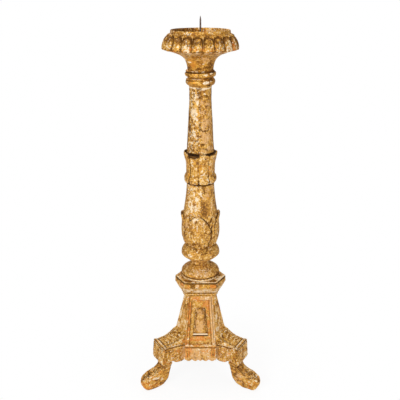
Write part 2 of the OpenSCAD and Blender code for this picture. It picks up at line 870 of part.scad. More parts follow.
module foot(a) {
    n = len(foot_front);
    m = len(foot_plan);
    color(bole)
        difference() {
            rotate([0, 0, a])
                intersection() {
                    translate([0, far / 2, 0])
                        rotate([90, 0, 0])
                            linear_extrude(far)
                                polygon(foot_side);
                    rotate([90, 0, 90])
                        linear_extrude(far)
                            polygon(concat(foot_front,
                                [for (i = [n - 1:-1:0]) [-foot_front[i][0], foot_front[i][1]]]));
                    linear_extrude(far)
                        polygon(concat(foot_plan,
                            [for (i = [m - 1:-1:0]) [foot_plan[i][0], -foot_plan[i][1]]]));
                }
            dowel_at(a, dowel_r + glue_gap, dowel_len / 2 + end_gap);
        }
}

module foot_dowels() {
    color(bare_wood)
        for (a = corners)
            dowel_at(a, dowel_r, dowel_len / 2);
}

pricket_spike();
drip_dish();
neck_bell();
neck_ring_upper();
neck_ring_lower();
upper_shaft();
waisted_collar();
lower_shaft();
leaf_cup();
torus_knop();
dome_knop();
pedestal_cap();
cap_moulding();
pedestal_core();
panel(front);  // front_panel
panel(rear_right);  // rear_right_panel
panel(rear_left);  // rear_left_panel
tablet(front);  // front_tablet
tablet(rear_right);  // rear_right_tablet
tablet(rear_left);  // rear_left_tablet
post(front_left);  // front_left_post
post(front_right);  // front_right_post
post(rear);  // rear_post
base_plinth();
apron(front);  // front_apron
apron(rear_right);  // rear_right_apron
apron(rear_left);  // rear_left_apron
block(front_left);  // front_left_block
block(front_right);  // front_right_block
block(rear);  // rear_block
foot(front_left);  // front_left_foot
foot(front_right);  // front_right_foot
foot(rear);  // rear_foot
foot_dowels();
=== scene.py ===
import math

import bmesh
import bpy
import numpy as np
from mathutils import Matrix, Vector


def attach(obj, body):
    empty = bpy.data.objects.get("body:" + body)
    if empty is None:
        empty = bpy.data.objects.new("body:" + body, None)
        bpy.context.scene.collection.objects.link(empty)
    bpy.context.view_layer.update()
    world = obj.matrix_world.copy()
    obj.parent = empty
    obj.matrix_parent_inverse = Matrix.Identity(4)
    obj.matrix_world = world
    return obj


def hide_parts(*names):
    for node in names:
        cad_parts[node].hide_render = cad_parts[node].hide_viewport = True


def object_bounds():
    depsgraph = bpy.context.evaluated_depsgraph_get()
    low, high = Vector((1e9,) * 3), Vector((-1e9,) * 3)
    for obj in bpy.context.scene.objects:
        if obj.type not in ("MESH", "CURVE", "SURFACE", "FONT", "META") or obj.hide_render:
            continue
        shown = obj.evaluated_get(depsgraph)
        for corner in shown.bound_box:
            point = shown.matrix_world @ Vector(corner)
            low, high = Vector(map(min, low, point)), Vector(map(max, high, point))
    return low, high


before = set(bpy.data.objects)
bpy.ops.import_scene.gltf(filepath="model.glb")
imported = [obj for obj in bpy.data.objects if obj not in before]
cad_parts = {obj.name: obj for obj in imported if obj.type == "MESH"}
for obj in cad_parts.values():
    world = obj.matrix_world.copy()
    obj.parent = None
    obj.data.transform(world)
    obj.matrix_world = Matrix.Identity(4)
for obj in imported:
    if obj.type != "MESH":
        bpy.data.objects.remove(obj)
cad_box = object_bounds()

MM = 0.001
BOX_LOW, BOX_HIGH = (np.array(corner) / MM for corner in cad_box)

# ---------- heights of the seats, in millimetres from the floor ----------

PEDESTAL, MOULD, DOME, TORUS, CUP, LOWER_SHAFT, COLLAR = 120, 240, 290, 326, 374, 459, 536
UPPER_SHAFT, RING_LOWER, RING_UPPER, BELL, DISH, WELL = 611, 762, 783, 799, 837, 873

# ---------- directions of the faces and the corners, in degrees ----------

FACES = {"front": 270, "rear_right": 30, "rear_left": 150}
CORNERS = {"front_left": 210, "front_right": 330, "rear": 90}

# ---------- noise and steps ----------


def lattice(i, seed):
    """A repeatable value between -1 and 1 for each point of a grid of whole numbers."""
    h = i[0] * 73856093 ^ i[1] * 19349663 ^ i[2] * 83492791 ^ seed * 265443576
    h = ((h ^ (h >> 13)) * 1274126177) & 0xFFFFFFFF
    return ((h ^ (h >> 16)) & 0xFFFF) / 32767.5 - 1.0


def noise(co, size, seed=0, octaves=1):
    """Smooth noise between -1 and 1 at points in millimetres, with features of that size."""
    total, weight, sum_w = 0.0, 1.0, 0.0
    for o in range(octaves):
        q = np.asarray(co, float) * (2**o) / size + 13.7 * seed + 5.3 * o
        i = np.floor(q).astype(np.int64)
        f = q - i
        f = f * f * (3 - 2 * f)
        v = 0.0
        for corner in range(8):
            bit = [corner & 1, corner >> 1 & 1, corner >> 2 & 1]
            w = 1.0
            for k in range(3):
                w = w * (f[:, k] if bit[k] else 1 - f[:, k])
            v = v + w * lattice([i[:, k] + bit[k] for k in range(3)], seed + o)
        total = total + weight * v
        sum_w += weight
        weight *= 0.5
    return total / sum_w


def step(a, b, x):
    """A smooth way from 0 at a to 1 at b, where b may be the lower."""
    t = np.clip((x - a) / (b - a), 0, 1)
    return t * t * (3 - 2 * t)


def within(x, a, b, c, d):
    """Rises from a to b and falls again from c to d."""
    return step(a, b, x) * step(d, c, x)


def hump(x, width):
    """1 at x = 0, fading on both sides."""
    return np.exp(-((x / width) ** 2))


# ---------- outlines ----------


def cubic(a, b, c, d, n=14):
    t = np.linspace(0, 1, n)[:, None]
    a, b, c, d = (np.array(p, float) for p in (a, b, c, d))
    s = 1 - t
    return (s**3 * a + 3 * s * s * t * b + 3 * s * t * t * c + t**3 * d).tolist()


def bead(r, swell, z0, z1, n=22):
    a = np.linspace(-math.pi / 2, math.pi / 2, n)
    return np.column_stack([r + swell * np.cos(a), (z0 + z1) / 2 + (z1 - z0) / 2 * np.sin(a)]).tolist()


def eased(points, r=0.7):
    """Rounds the sharp corners of an outline, as wear does."""
    p = [np.array(q, float) for q in points]
    out = [p[0]]
    for a, b, c in zip(p, p[1:], p[2:]):
        u, v = a - b, c - b
        lu, lv = np.linalg.norm(u), np.linalg.norm(v)
        if lu < 1e-6 or lv < 1e-6:
            continue
        if u.dot(v) / (lu * lv) < -0.9:
            out.append(b)
            continue
        k = min(r, 0.45 * lu, 0.45 * lv)
        s, e = b + u / lu * k, b + v / lv * k
        out += [s, (s + 2 * b + e) / 4, e]
    out.append(p[-1])
    return out


def dense(points, gap):
    p = np.array(points, float)
    out = [p[0]]
    for a, b in zip(p, p[1:]):
        n = max(1, int(math.ceil(np.linalg.norm(b - a) / gap)))
        out += [a + (b - a) * k / n for k in range(1, n + 1)]
    return np.array(out)


CORE = 14  # the radius at which most turned outlines end, out of sight between the pieces


def closed(points):
    """An outline led in to the core at its foot and its top."""
    return [[CORE, points[0][1]], *points, [CORE, points[-1][1]]]


# ---------- meshes ----------


def added(name, data):
    ob = bpy.data.objects.new(name, data)
    bpy.context.scene.collection.objects.link(ob)
    return ob


def make(name, co, quads, tris):
    me = bpy.data.meshes.new(name)
    me.vertices.add(len(co))
    me.vertices.foreach_set("co", (co * MM).astype(np.float32).ravel())
    loops = np.concatenate([quads.ravel(), tris.ravel()]).astype(np.int32)
    me.loops.add(len(loops))
    me.loops.foreach_set("vertex_index", loops)
    nq, nt = len(quads), len(tris)
    me.polygons.add(nq + nt)
    starts = np.concatenate([np.arange(nq) * 4, nq * 4 + np.arange(nt) * 3]).astype(np.int32)
    me.polygons.foreach_set("loop_start", starts)
    me.update(calc_edges=True)
    me.validate()
    return me


class Turned:
    """A turned piece's vertices: angle right of the front, radius, height and length along the outline."""

    def __init__(self, outline, z0, cols, gap):
        p = dense(eased(outline), gap)
        self.rows, self.cols = len(p), cols
        t = np.gradient(p, axis=0)
        t /= np.maximum(np.linalg.norm(t, axis=1, keepdims=True), 1e-9)
        s = np.concatenate([[0], np.cumsum(np.linalg.norm(np.diff(p, axis=0), axis=1))])
        shape = (self.rows, cols)
        th = np.linspace(0, 2 * math.pi, cols, endpoint=False)
        th = np.where(th > math.pi, th - 2 * math.pi, th)
        self.th = np.broadcast_to(th, shape).ravel()
        col = lambda a: np.broadcast_to(a[:, None], shape).ravel()
        self.r, self.z, self.s = col(p[:, 0]), col(p[:, 1]), col(s)
        self.nr, self.nz = col(t[:, 1]), col(-t[:, 0])
        self.deg = np.degrees(self.th)
        self.side = np.abs(self.deg)
        self.z0 = z0
        self.co = self.place(0, 0)

    def place(self, out, up):
        r = np.maximum(self.r + out * self.nr, 0)
        z = self.z0 + self.z + out * self.nz + up
        return np.column_stack([r * np.sin(self.th), -r * np.cos(self.th), z])

    def noise(self, size, seed, octaves=1, drawn=1):
        return noise(self.co * [1, 1, drawn], size, seed, octaves)

    def dents(self, size, seed, fine=0.22, drawn=1, deep=0.6):
        """The wear of a turned face: broad dents and fine ones."""
        return deep * self.noise(size, seed, 3, drawn) + fine * self.noise(4, seed + 1, 2)


def turned(name, outline, z0, carve, cols, gap, *shown, **wear):
    """Adds a turned piece. Its carving gives moves outward and upward, and layers of wear, dirt and painted
    shade.
    """
    g = Turned(outline, z0, cols, gap)
    out, up, layers = carve(g)
    co = g.place(out, up)
    n, m = g.rows, g.cols
    i = np.arange(n - 1)[:, None] * m
    j = np.arange(m)[None, :]
    k = (j + 1) % m
    quads = np.stack([i + j, i + k, i + m + k, i + m + j], axis=-1).reshape(-1, 4)
    low, high = co[:m, 2].mean(), co[-m:, 2].mean()
    co = np.vstack([co, [0, 0, low], [0, 0, high]])
    j, k = j.ravel(), k.ravel()
    bottom, top = n * m, n * m + 1
    tris = np.concatenate([
        np.column_stack([np.full(m, bottom), k, j]),
        np.column_stack([np.full(m, top), (n - 1) * m + j, (n - 1) * m + k]),
    ])
    piece(name, make(name, co, quads, tris), *shown, layers, **wear)


def read(data, key, width, kind=np.float32):
    values = np.zeros(len(data) * width, kind)
    data.foreach_get(key, values)
    return values.reshape(-1, width)


def coords(me):
    return read(me.vertices, "co", 3).astype(float) / MM


def set_coords(me, co):
    me.vertices.foreach_set("co", (co * MM).astype(np.float32).ravel())
    me.update()


def normals(me):
    return read(me.vertex_normals, "vector", 3).astype(float)


def edges(me):
    return read(me.edges, "vertices", 2, np.int32)


def averaged(values, e, passes):
    """Each value moved to its neighbours' mean, again and again."""
    v = np.array(values, float).reshape(len(values), -1)
    count = np.bincount(e.ravel(), minlength=len(v)).astype(float)[:, None] + 1
    for _ in range(passes):
        total = v.copy()
        for k in range(v.shape[1]):
            total[:, k] += np.bincount(e[:, 0], v[e[:, 1], k], len(v))
            total[:, k] += np.bincount(e[:, 1], v[e[:, 0], k], len(v))
        v = total / count
    return v


def cad_shell(node, voxel, passes):
    """A fine, softened copy of a CAD solid, in millimetres."""
    bm = bmesh.new()
    bm.from_mesh(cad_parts[node].data)
    bmesh.ops.remove_doubles(bm, verts=bm.verts, dist=1e-6)
    me = bpy.data.meshes.new(node + "_copy")
    bm.to_mesh(me)
    bm.free()
    ob = added(node + "_copy", me)
    mod = ob.modifiers.new("fine", "REMESH")
    mod.mode = "VOXEL"
    mod.voxel_size = voxel * MM
    graph = bpy.context.evaluated_depsgraph_get()
    out = bpy.data.meshes.new_from_object(ob.evaluated_get(graph))
    bpy.data.objects.remove(ob)
    set_coords(out, averaged(coords(out), edges(out), passes))
    return out


def turn(co, deg):
    a = math.radians(deg)
    c, s = math.cos(a), math.sin(a)
    return np.column_stack([co[:, 0] * c - co[:, 1] * s, co[:, 0] * s + co[:, 1] * c, co[:, 2]])


# ---------- pieces ----------


def attribute(me, name, values):
    a = me.attributes.new(name, "FLOAT", "POINT")
    a.data.foreach_set("value", np.broadcast_to(values, len(me.vertices)).astype(np.float32))


def at(deg, r, z):
    """The place at an angle right of the front, a radius and a height."""
    a = math.radians(deg)
    return np.array([r * math.sin(a), -r * math.cos(a), z])


def patch(co, centre, size, seed=0, ragged=0.6):
    """1 inside a ragged patch and 0 outside."""
    d = np.linalg.norm((co - centre) / np.array(size, float), axis=1)
    d = d + ragged * noise(co, 0.6 * float(np.min(size)) + 1.5, seed, 2)
    d = d + 0.8 * ragged * noise(co, 3.2, seed + 1, 2)
    return 1 - step(0.6, 1.15, d)


def patches(co, spots):
    """The sum of some patches, each (degrees, radius, height, half width, half height, strength)."""
    total = np.zeros(len(co))
    for k, (deg, r, z, w, h, strength) in enumerate(spots):
        total = total + strength * patch(co, at(deg, r, z), (w, w, h), 40 + k)
    return total


LAYERS = ("cream", "brown", "orange", "tan")
# narrow and broad hollows, which the material darkens with grime and painted shade: how many more passes of
# smoothing find them, and how strongly they show
HOLLOWS = (("cavity", 3, 2.2), ("hollow", 14, 0.8))
EDGE_ROOM = 0.01  # kept free inside the CAD's box


def piece(name, me, material, node, layers, relief=1.0, slot=None, **spots):
    """Adds a piece, with its places of pale ground and painted highlight, grime and painted shade, orange
    clay and bare wood.
    """
    ob = added(name, me)
    me.polygons.foreach_set("use_smooth", np.ones(len(me.polygons), bool))
    set_coords(me, np.clip(coords(me), BOX_LOW + EDGE_ROOM, BOX_HIGH - EDGE_ROOM))
    co, e, n = coords(me), edges(me), normals(me)
    soft = co
    for hollow, passes, gain in HOLLOWS:
        soft = averaged(soft, e, passes)
        attribute(me, hollow, np.clip(gain * relief * np.einsum("ij,ij->i", soft - co, n), -1, 1))
    for layer in LAYERS:
        total = patches(co, spots.get(layer, ()))
        if layer in layers:
            total[:len(layers[layer])] += layers[layer]
        attribute(me, layer, total)
    me.materials.append(material)
    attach(ob, "root")
    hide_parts(node)
    # where the CAD's material has the same name, Blender adds a number to this one's
    slot = slot or material.name.partition(".")[0]


# ---------- materials ----------


def rgb(r, g, b):
    f = lambda c: c / 12.92 / 255 if c <= 10 else ((c / 255 + 0.055) / 1.055) ** 2.4
    return (f(r), f(g), f(b), 1.0)


UMBER, OCHRE, GOLD = rgb(112, 66, 8), rgb(162, 103, 17), rgb(197, 139, 38)
GOLD_PALE, SAND, CREAM = rgb(220, 168, 70), rgb(230, 196, 142), rgb(242, 230, 210)
CLAY, CLAY_PALE = rgb(212, 110, 22), rgb(216, 136, 40)
TAN, TAN_PINK = rgb(212, 158, 92), rgb(226, 182, 132)
AMBER, AMBER_PALE, YELLOW = rgb(206, 124, 18), rgb(216, 150, 40), rgb(226, 170, 40)
# the grime and soot colours also serve as painted shade in hollows, gaps and grooves
GRIME_AND_SHADE, SOOT_AND_SHADE, DUST = rgb(92, 56, 14), rgb(48, 30, 14), rgb(206, 180, 146)


class Nodes:
    """A shader tree of a material or a world, built node by node."""

    def __init__(self, owner):
        owner.use_nodes = True
        self.owner, self.tree = owner, owner.node_tree
        self.tree.nodes.clear()

    def add(self, kind, inputs=None, out=0, **props):
        n = self.tree.nodes.new("ShaderNode" + kind)
        for k, v in props.items():
            setattr(n, k, v)
        for k, v in (inputs or {}).items():
            if isinstance(v, bpy.types.NodeSocket):
                self.tree.links.new(v, n.inputs[k])
            else:
                n.inputs[k].default_value = v
        return n.outputs[out] if n.outputs else None

    def math(self, op, a, b=0.0, clamp=False):
        return self.add("Math", {0: a, 1: b}, operation=op, use_clamp=clamp)

    def times(self, a, b, clamp=False):
        return self.math("MULTIPLY", a, b, clamp)

    def vector(self, op, a, b):
        return self.add("VectorMath", {0: a, 1: b}, operation=op)

    def noise(self, co, size_mm, detail=4.0, roughness=0.6, distortion=0.0):
        given = {"Vector": co, "Scale": 1000.0 / size_mm, "Detail": detail, "Roughness": roughness}
        return self.add("TexNoise", {**given, "Distortion": distortion})

    def above(self, x, edge, soft):
        """0 below the edge and 1 above it."""
        given = {"Value": x, "From Min": edge - soft, "From Max": edge + soft}
        return self.add("MapRange", given, interpolation_type="SMOOTHSTEP")

    def mix(self, fac, a, b):
        return self.add("Mix", {0: fac, 6: a, 7: b}, out=2, data_type="RGBA")

    def ramp(self, x, stops):
        n = self.tree.nodes.new("ShaderNodeValToRGB")
        self.tree.links.new(x, n.inputs[0])
        points = n.color_ramp.elements
        while len(points) < len(stops):
            points.new(0.5)
        for k, (at_x, colour) in enumerate(stops):
            points[k].position, points[k].color = at_x, colour
        return n.outputs[0]

    def attr(self, name):
        return self.add("Attribute", out=2, attribute_name=name)

    def surface(self, relief, strength, depth_mm, **given):
        """The finished material, with a bump of the relief."""
        bump = self.add("Bump", {"Strength": strength, "Distance": depth_mm * MM, "Height": relief})
        given = {key.replace("_", " "): value for key, value in given.items()}
        self.add("OutputMaterial", {0: self.add("BsdfPrincipled", {"Normal": bump, **given})})
        return self.owner


RAMP = [(0.1, UMBER), (0.29, OCHRE), (0.44, GOLD), (0.59, GOLD_PALE), (0.76, SAND), (0.92, CREAM)]
GOLD_SHEEN = (1.0, 0.8, 0.52, 1.0)
TONE_SHARES = (0.8, 1.2, 1.1, 0.4)  # of broad, middling, fleck and fine noise in the tone


def gilt(name, size=9, stretch=(1, 1, 1), shade=0.0, depth=1.0, pale=0.0, grime=0.0, clay=0.0,
         dust=0.0, warm=(CLAY, CLAY_PALE), metal=0.45, rough=0.4, seed=0.0):
    """Old gilding: leaf in many tones from rubbed umber to sand, worn through to a cream ground, orange clay
    and bare wood, with grime and painted shade in the hollows."""
    g = Nodes(bpy.data.materials.new(name))
    place = g.vector("ADD", g.add("TexCoord", out=3), (seed, 0.37 * seed, 0.0))
    warp = g.add("TexNoise", {"Vector": place, "Scale": 1000.0 / 8, "Detail": 3.0}, out=1)
    warp = g.vector("SUBTRACT", warp, (0.5, 0.5, 0.5))
    warp = g.add("VectorMath", {0: warp, 3: 0.008}, operation="SCALE")
    warped = g.vector("ADD", place, warp)
    drawn = g.add("Mapping", {0: warped, 3: stretch})
    broad, mid = g.noise(drawn, size * 1.6, 3, 0.6), g.noise(drawn, size * 0.55, 5, 0.66)
    fleck, fine = g.noise(warped, 3.8, 2, 0.5), g.noise(place, 1.5, 4, 0.65)
    cavity, hollow, cream, brown, orange, tan = (g.attr(n) for n in ("cavity", "hollow") + LAYERS)

    def plus(a, b, share):
        return g.math("ADD", a, g.times(b, share))

    tone = 0.5 + shade - 0.5 * depth * sum(TONE_SHARES)
    for clouds, share in zip((broad, mid, fleck, fine), TONE_SHARES):
        tone = plus(tone, clouds, share * depth)
    tone = plus(plus(tone, cream, 0.08), brown, -0.08)
    # a darker tone in the narrow hollows: grime and painted shade
    tone = plus(tone, cavity, -0.1)
    colour = g.ramp(tone, RAMP)
    wooden = g.above(plus(g.noise(warped, 13, 4, 0.6), tan, 0.22), 0.72, 0.04)
    grain = g.noise(g.add("Mapping", {0: warped, 3: (1, 1, 0.18)}), 2.6, 4, 0.6)
    plank = g.mix(g.above(grain, 0.5, 0.14), TAN, TAN_PINK)
    plank = g.mix(g.times(g.above(mid, 0.56, 0.1), 0.45), plank, OCHRE)
    colour = g.mix(g.times(wooden, 0.75), colour, plank)
    rubbed = g.above(plus(g.noise(warped, 6, 5, 0.66), orange, 0.1), 0.66 - 0.16 * clay, 0.035)
    rubbed_colour = g.mix(g.above(mid, 0.5, 0.12), *warm)
    colour = g.mix(g.times(rubbed, 0.72), colour, rubbed_colour)
    chalky = g.above(plus(g.noise(warped, 4.4, 3, 0.6), cream, 0.085), 0.665 - 0.14 * pale, 0.02)
    colour = g.mix(g.times(chalky, 0.9), colour, g.mix(g.above(fine, 0.5, 0.12), SAND, CREAM))
    # stains, drawn to the brown layer's places, so they also carry its painted shade
    stain_and_shade = g.above(plus(g.noise(warped, 4.0, 3, 0.6), brown, 0.1), 0.665 - 0.14 * grime, 0.035)
    colour = g.mix(dust, colour, DUST)
    colour = g.mix(g.times(stain_and_shade, 0.72), colour, GRIME_AND_SHADE)
    # near black where the brown layer is strongest: soot, and painted shade in gaps and grooves
    black = g.above(plus(brown, mid, 3.0), 6.2, 1.3)
    colour = g.mix(g.times(black, 0.86), colour, SOOT_AND_SHADE)
    # grime and painted shade in the hollows: soft and broad, then narrow and dark
    soft = g.times(g.above(hollow, 0.34, 0.34), 0.62)
    soft = g.times(soft, plus(0.45, mid, 1.1), clamp=True)
    narrow = g.times(g.above(cavity, 0.36, 0.26), 0.82)
    narrow = g.times(narrow, plus(0.4, mid, 1.1), clamp=True)
    rub = plus(g.times(g.above(cavity, -0.5, 0.35), -0.4), black, -0.6)
    colour = g.mix(g.times(plus(0.4, rub, 1.0), plus(0.4, mid, 1.2), clamp=True), colour, SAND)
    colour = g.mix(soft, colour, GRIME_AND_SHADE)
    colour = g.mix(narrow, colour, SOOT_AND_SHADE)

    # duller where grime and painted shade lie
    dirt_and_shade = g.math("ADD", g.math("MAXIMUM", soft, g.math("MAXIMUM", narrow, black)), stain_and_shade, clamp=True)
    bare = g.math("MAXIMUM", g.math("MAXIMUM", wooden, chalky), dirt_and_shade, clamp=True)
    leaf = g.times(g.math("SUBTRACT", 1.0, bare), g.above(tone, 0.72, -0.3))
    metallic = g.times(leaf, metal)
    dull = plus(plus(rough + 0.02, bare, 0.7 - rough), fine, 0.12)
    height = plus(plus(g.times(chalky, -0.6), stain_and_shade, -0.5), mid, 1.3)
    height = plus(plus(height, fine, 0.7), rubbed, -0.4)
    return g.surface(height, 0.75, 0.7, Base_Color=colour, Metallic=metallic, Roughness=dull,
                     Specular_IOR_Level=plus(0.3, dirt_and_shade, -0.2), Specular_Tint=GOLD_SHEEN)


def iron(name):
    g = Nodes(bpy.data.materials.new(name))
    place = g.add("TexCoord", out=3)
    rust = g.above(g.noise(place, 5, 6, 0.65), 0.52, 0.1)
    fine = g.noise(place, 0.8, 4, 0.6)
    colour = g.mix(rust, rgb(120, 108, 100), rgb(92, 58, 38))
    colour = g.mix(g.times(fine, 0.5), colour, rgb(58, 46, 42))
    dull = g.math("ADD", g.times(rust, 0.3), 0.38)
    metal = g.math("SUBTRACT", 0.85, g.times(rust, 0.6))
    return g.surface(fine, 0.5, 0.3, Base_Color=colour, Metallic=metal, Roughness=dull)


def plain_wood(name):
    g = Nodes(bpy.data.materials.new(name))
    place = g.add("TexCoord", out=3)
    drawn = g.add("Mapping", {0: place, 3: (0.15, 1.0, 1.0)})
    grain = g.noise(drawn, 3, 6, 0.65, 0.4)
    broad = g.noise(drawn, 22, 3, 0.5, 0.8)
    colour = g.mix(g.above(grain, 0.5, 0.14), rgb(150, 108, 66), rgb(104, 70, 40))
    colour = g.mix(g.times(g.above(broad, 0.5, 0.12), 0.5), colour, rgb(86, 58, 34))
    return g.surface(grain, 0.5, 0.4, Base_Color=colour, Roughness=0.78)


MAT_DISH = gilt("gilt_dish", size=9, shade=-0.09, depth=1.15, pale=0.2, grime=0.25, clay=0.2, dust=0.06,
                metal=0.4, rough=0.42, seed=1.3)
MAT_NECK = gilt("gilt_neck", size=12, shade=-0.12, depth=0.9, pale=-0.1, grime=0.22, clay=0.2, dust=0.06,
                warm=(AMBER, AMBER_PALE), metal=0.45, rough=0.34, seed=2.1)
MAT_SHAFT = gilt("gilt_shaft", size=9, stretch=(1, 1, 0.7), shade=-0.05, depth=1.15, pale=0.25, grime=0.08,
                 clay=0.2, dust=0.08, warm=(AMBER, YELLOW), metal=0.25, seed=3.7)
MAT_LEAF = gilt("gilt_leaf", size=8, shade=-0.06, depth=1.05, pale=0.12, grime=0.12, clay=0.18, dust=0.1,
                warm=(AMBER, YELLOW), metal=0.38, seed=4.4)
MAT_BASE = gilt("gilt_base", size=7, shade=-0.03, depth=1.05, pale=0.15, grime=0.1, clay=0.2, dust=0.06,
                metal=0.3, seed=5.9)
MAT_PANEL = gilt("gilt_panel", size=7, shade=-0.1, depth=0.9, clay=0.3, dust=0.1, metal=0.3, seed=6.6)
MAT_FOOT = gilt("gilt_foot", size=8, shade=-0.07, depth=0.9, pale=0.08, grime=0.1, clay=0.22, dust=0.1,
                warm=(CLAY, YELLOW), metal=0.35, seed=7.2)
MAT_IRON = iron("spike_iron")
MAT_WOOD = plain_wood("bare_wood")

# ---------- spike and dish ----------

# An outline is a list of radii and heights above the piece's seat. A spot is its angle right of
# the front, radius, height above the floor, half width, half height and strength; most are wear and dirt, a
# few brown ones painted shade.

spike = [[3.2, -4], [3.2, -0.2], [2.6, 0.3], [2.05, 1.2], [2.0, 15], [1.95, 29]]
spike += cubic([1.95, 29], [1.7, 34], [1.1, 38], [0.35, 40.6], 8) + [[0.05, 41]]


def forged(g):
    return 0.1 * g.noise(5, 3, 2) * step(0, 2, g.z), 0, {}


turned("spike_body", spike, WELL, forged, 32, 0.5, MAT_IRON, "pricket_spike")

LOBES, LOBE_TURN, LOBE_DEPTH = 21, 4.3, 4.6
BOWL_EDGE_R, BOWL_EDGE_Z = 85.9, 6.5
rng = np.random.default_rng(11)
lobe_shift = rng.uniform(-0.05, 0.05, LOBES)
lobe_level = rng.uniform(-0.6, 0.2, LOBES)
lobe_pale = rng.uniform(-0.8, 0.8, LOBES)

dish = [[20, 0], [60, 0.2], [77.4, 4.5]]
dish += cubic([BOWL_EDGE_R, BOWL_EDGE_Z], [88.0, 16], [81.4, 29.5], [75, 37], 20)
dish += [[67, 40.5], [66.6, 46], [66.1, 47.3], [65, 47.9], [63.8, 47.4], [63.2, 46], [62, 39.5], [60.2, 37],
         [57, 36.2], [20, 36], [6, 36]]


def gadroons(g):
    along = (g.deg - LOBE_TURN) * LOBES / 360
    lobe = np.floor(along).astype(int) % LOBES
    q = (along - np.floor(along)) * 2 - 1 + lobe_shift[lobe]
    half = math.pi / LOBES * g.r
    foot = g.s[(np.abs(g.r - BOWL_EDGE_R) + np.abs(g.z - BOWL_EDGE_Z)).argmin()]
    x, y = q * half, g.s - foot
    width = half - 0.9
    arch, tip = 22.5, 12.5
    d = np.hypot(x, np.maximum(y - arch, 0) * width / tip) - width
    t = np.clip((d + width) / width, 0, 1)
    outer = (g.nr > -0.2) & (g.z < 41.5) & (g.r > 60)
    depth = LOBE_DEPTH * step(60.5, 76, g.r)
    tongue = -depth * (1 - (1 - t**2.2) ** 0.55) + 0.7 * lobe_level[lobe]
    rise = step(0.2, 4.5, d)
    h = np.where(d < 0, tongue, -depth * 0.95 * (1 - rise) + 0.3 * rise) * (0.45 + 0.55 * step(-2, 13, y))
    h = np.where(outer, h * step(42.2, 38.5, g.z), 0)
    worn = g.dents(14, 5, deep=0.45)
    skirt = hump(y + 1, 4) * 1.1 * g.noise(8, 9, 2)
    # brown arcs over the tongues, painted shade in the sunk arches, browner towards their tops; brown sides,
    # pale or ochre middles
    blotch = g.noise(9, 17, 3)
    arc = hump(d + 0.8, 3.0) * step(arch - 9, arch + 3, y) * (1 + 0.7 * blotch)
    sides = hump(d + 0.4, 2.2) * step(arch - 2, arch - 9, y) * (0.8 + 0.9 * blotch)
    inner = step(-1.5, -4, d) * step(arch + 7, arch - 4, y)
    band = (g.z > 38) & (g.r > 65.5) & (g.nr > 0)
    well = (g.r < 66) & (g.z > 30)
    side_x = g.r * np.sin(g.th)
    low_edge = hump(y - 0.5, 1.6) * (0.9 + 1.4 * blotch)
    middle = inner * (3.0 * blotch + 1.6 * step(7, 19, y) - 0.7)
    brown = np.where(outer, 3.2 * arc + 0.8 * sides + middle + 2.0 * low_edge, 0)
    # the well's inner wall: painted shade on the left
    brown += np.where(well, 1.8 * step(15, -35, side_x), 0) + np.where(band, 0.5 * blotch, 0)
    cream = np.where(outer, inner * (0.8 + lobe_pale[lobe] + 0.8 * g.noise(12, 19, 2)) - 1.1 * arc, 0)
    cream += np.where(outer & (d > 2.5), 0.8 * g.noise(8, 23, 2) + 0.4, 0) - np.where(band, 0.3, 0)
    # the well's inner wall: painted light on the right
    cream += np.where(well, 0.9 * step(-5, 25, side_x) + 0.3 * blotch, 0)
    orange = np.where(outer, step(14, 2, y) * (0.6 + 1.6 * g.noise(7, 21, 2)), 0)
    layers = {"brown": brown, "cream": cream, "orange": orange}
    return h + np.where(outer, worn + skirt, 0.6 * worn), 0, layers


cols = LOBES * 32
turned("dish_body", dish, DISH, gadroons, cols, 0.7, MAT_DISH, "drip_dish", relief=0.6,
       cream=[(36, 72, 882, 10, 4, 1.6), (-24, 72, 881, 12, 3, 1.8), (20, 72, 882, 9, 3, 1.6),
              (-6, 74, 880, 6, 3, 1.2)],
       orange=[(59, 84, 856, 5, 13, 6), (-16, 85, 851, 6, 4, 2.5), (4, 86, 854, 6, 5, 2.2)],
       brown=[(77, 84, 860, 8, 13, 1.6), (-58, 80, 871, 12, 6, 1)])

# ---------- neck ----------

bell = [[CORE, 0], [29.3, 0]] + cubic([29.3, 0.3], [30.3, 12], [33.3, 24], [42.3, 29.5])
bell += cubic([44.3, 30.8], [49.3, 34], [54, 35.6], [60, 36.5]) + [[60, 37.7], [20, 37.7]]


def worn_bell(g):
    flange = step(52, 59, g.r) * step(34, 36, g.z)
    h = 0.6 * g.noise(16, 12, 3) + 0.2 * g.noise(5, 13, 2) + flange * 0.5 * g.noise(7, 14, 2)
    cream = step(44, 52, g.r) * (0.8 + 0.9 * g.noise(7, 15, 2))
    # darker at the foot, as painted shade by the ring below, and in a band round the flange's curve
    brown = hump(g.z - 1.5, 2.5) + hump(g.r - 47, 2.5) * 1.3 * (0.6 + g.noise(9, 16, 2))
    h = (h - 0.7 * flange) * step(CORE, 20, g.r) * step(37.6, 37.2, g.z)
    return h, 0, {"cream": cream, "brown": brown}


turned("bell_body", bell, BELL, worn_bell, 260, 0.9, MAT_NECK, "neck_bell",
       cream=[(-74, 32, 825, 9, 7, 3.2), (-46, 32, 817, 5, 2.2, 5), (2, 32, 822, 3.4, 2.1, 4),
              (27, 34, 830, 8, 2.6, 2.4), (10, 32, 814, 4.6, 2.1, 2.4)],
       orange=[(-32, 32, 819, 9, 15, 6), (-38, 36, 832, 8, 4, 4), (12, 31, 812, 8, 6, 1.4)],
       # the brown spots low on the bell, near height 804, deepen the painted shade at its foot
       brown=[(-7, 31, 803, 6, 2.2, 3), (44, 32, 812, 9, 9, 1.8), (26, 31, 806, 9, 3, 1.8),
              (-59, 30, 804, 9, 2.4, 2.4), (-9, 33, 827, 2.4, 11, 1.6)],
       tan=[(10, 33, 823, 15, 10, 1.1), (24, 34, 828, 7, 6, 0.8)])

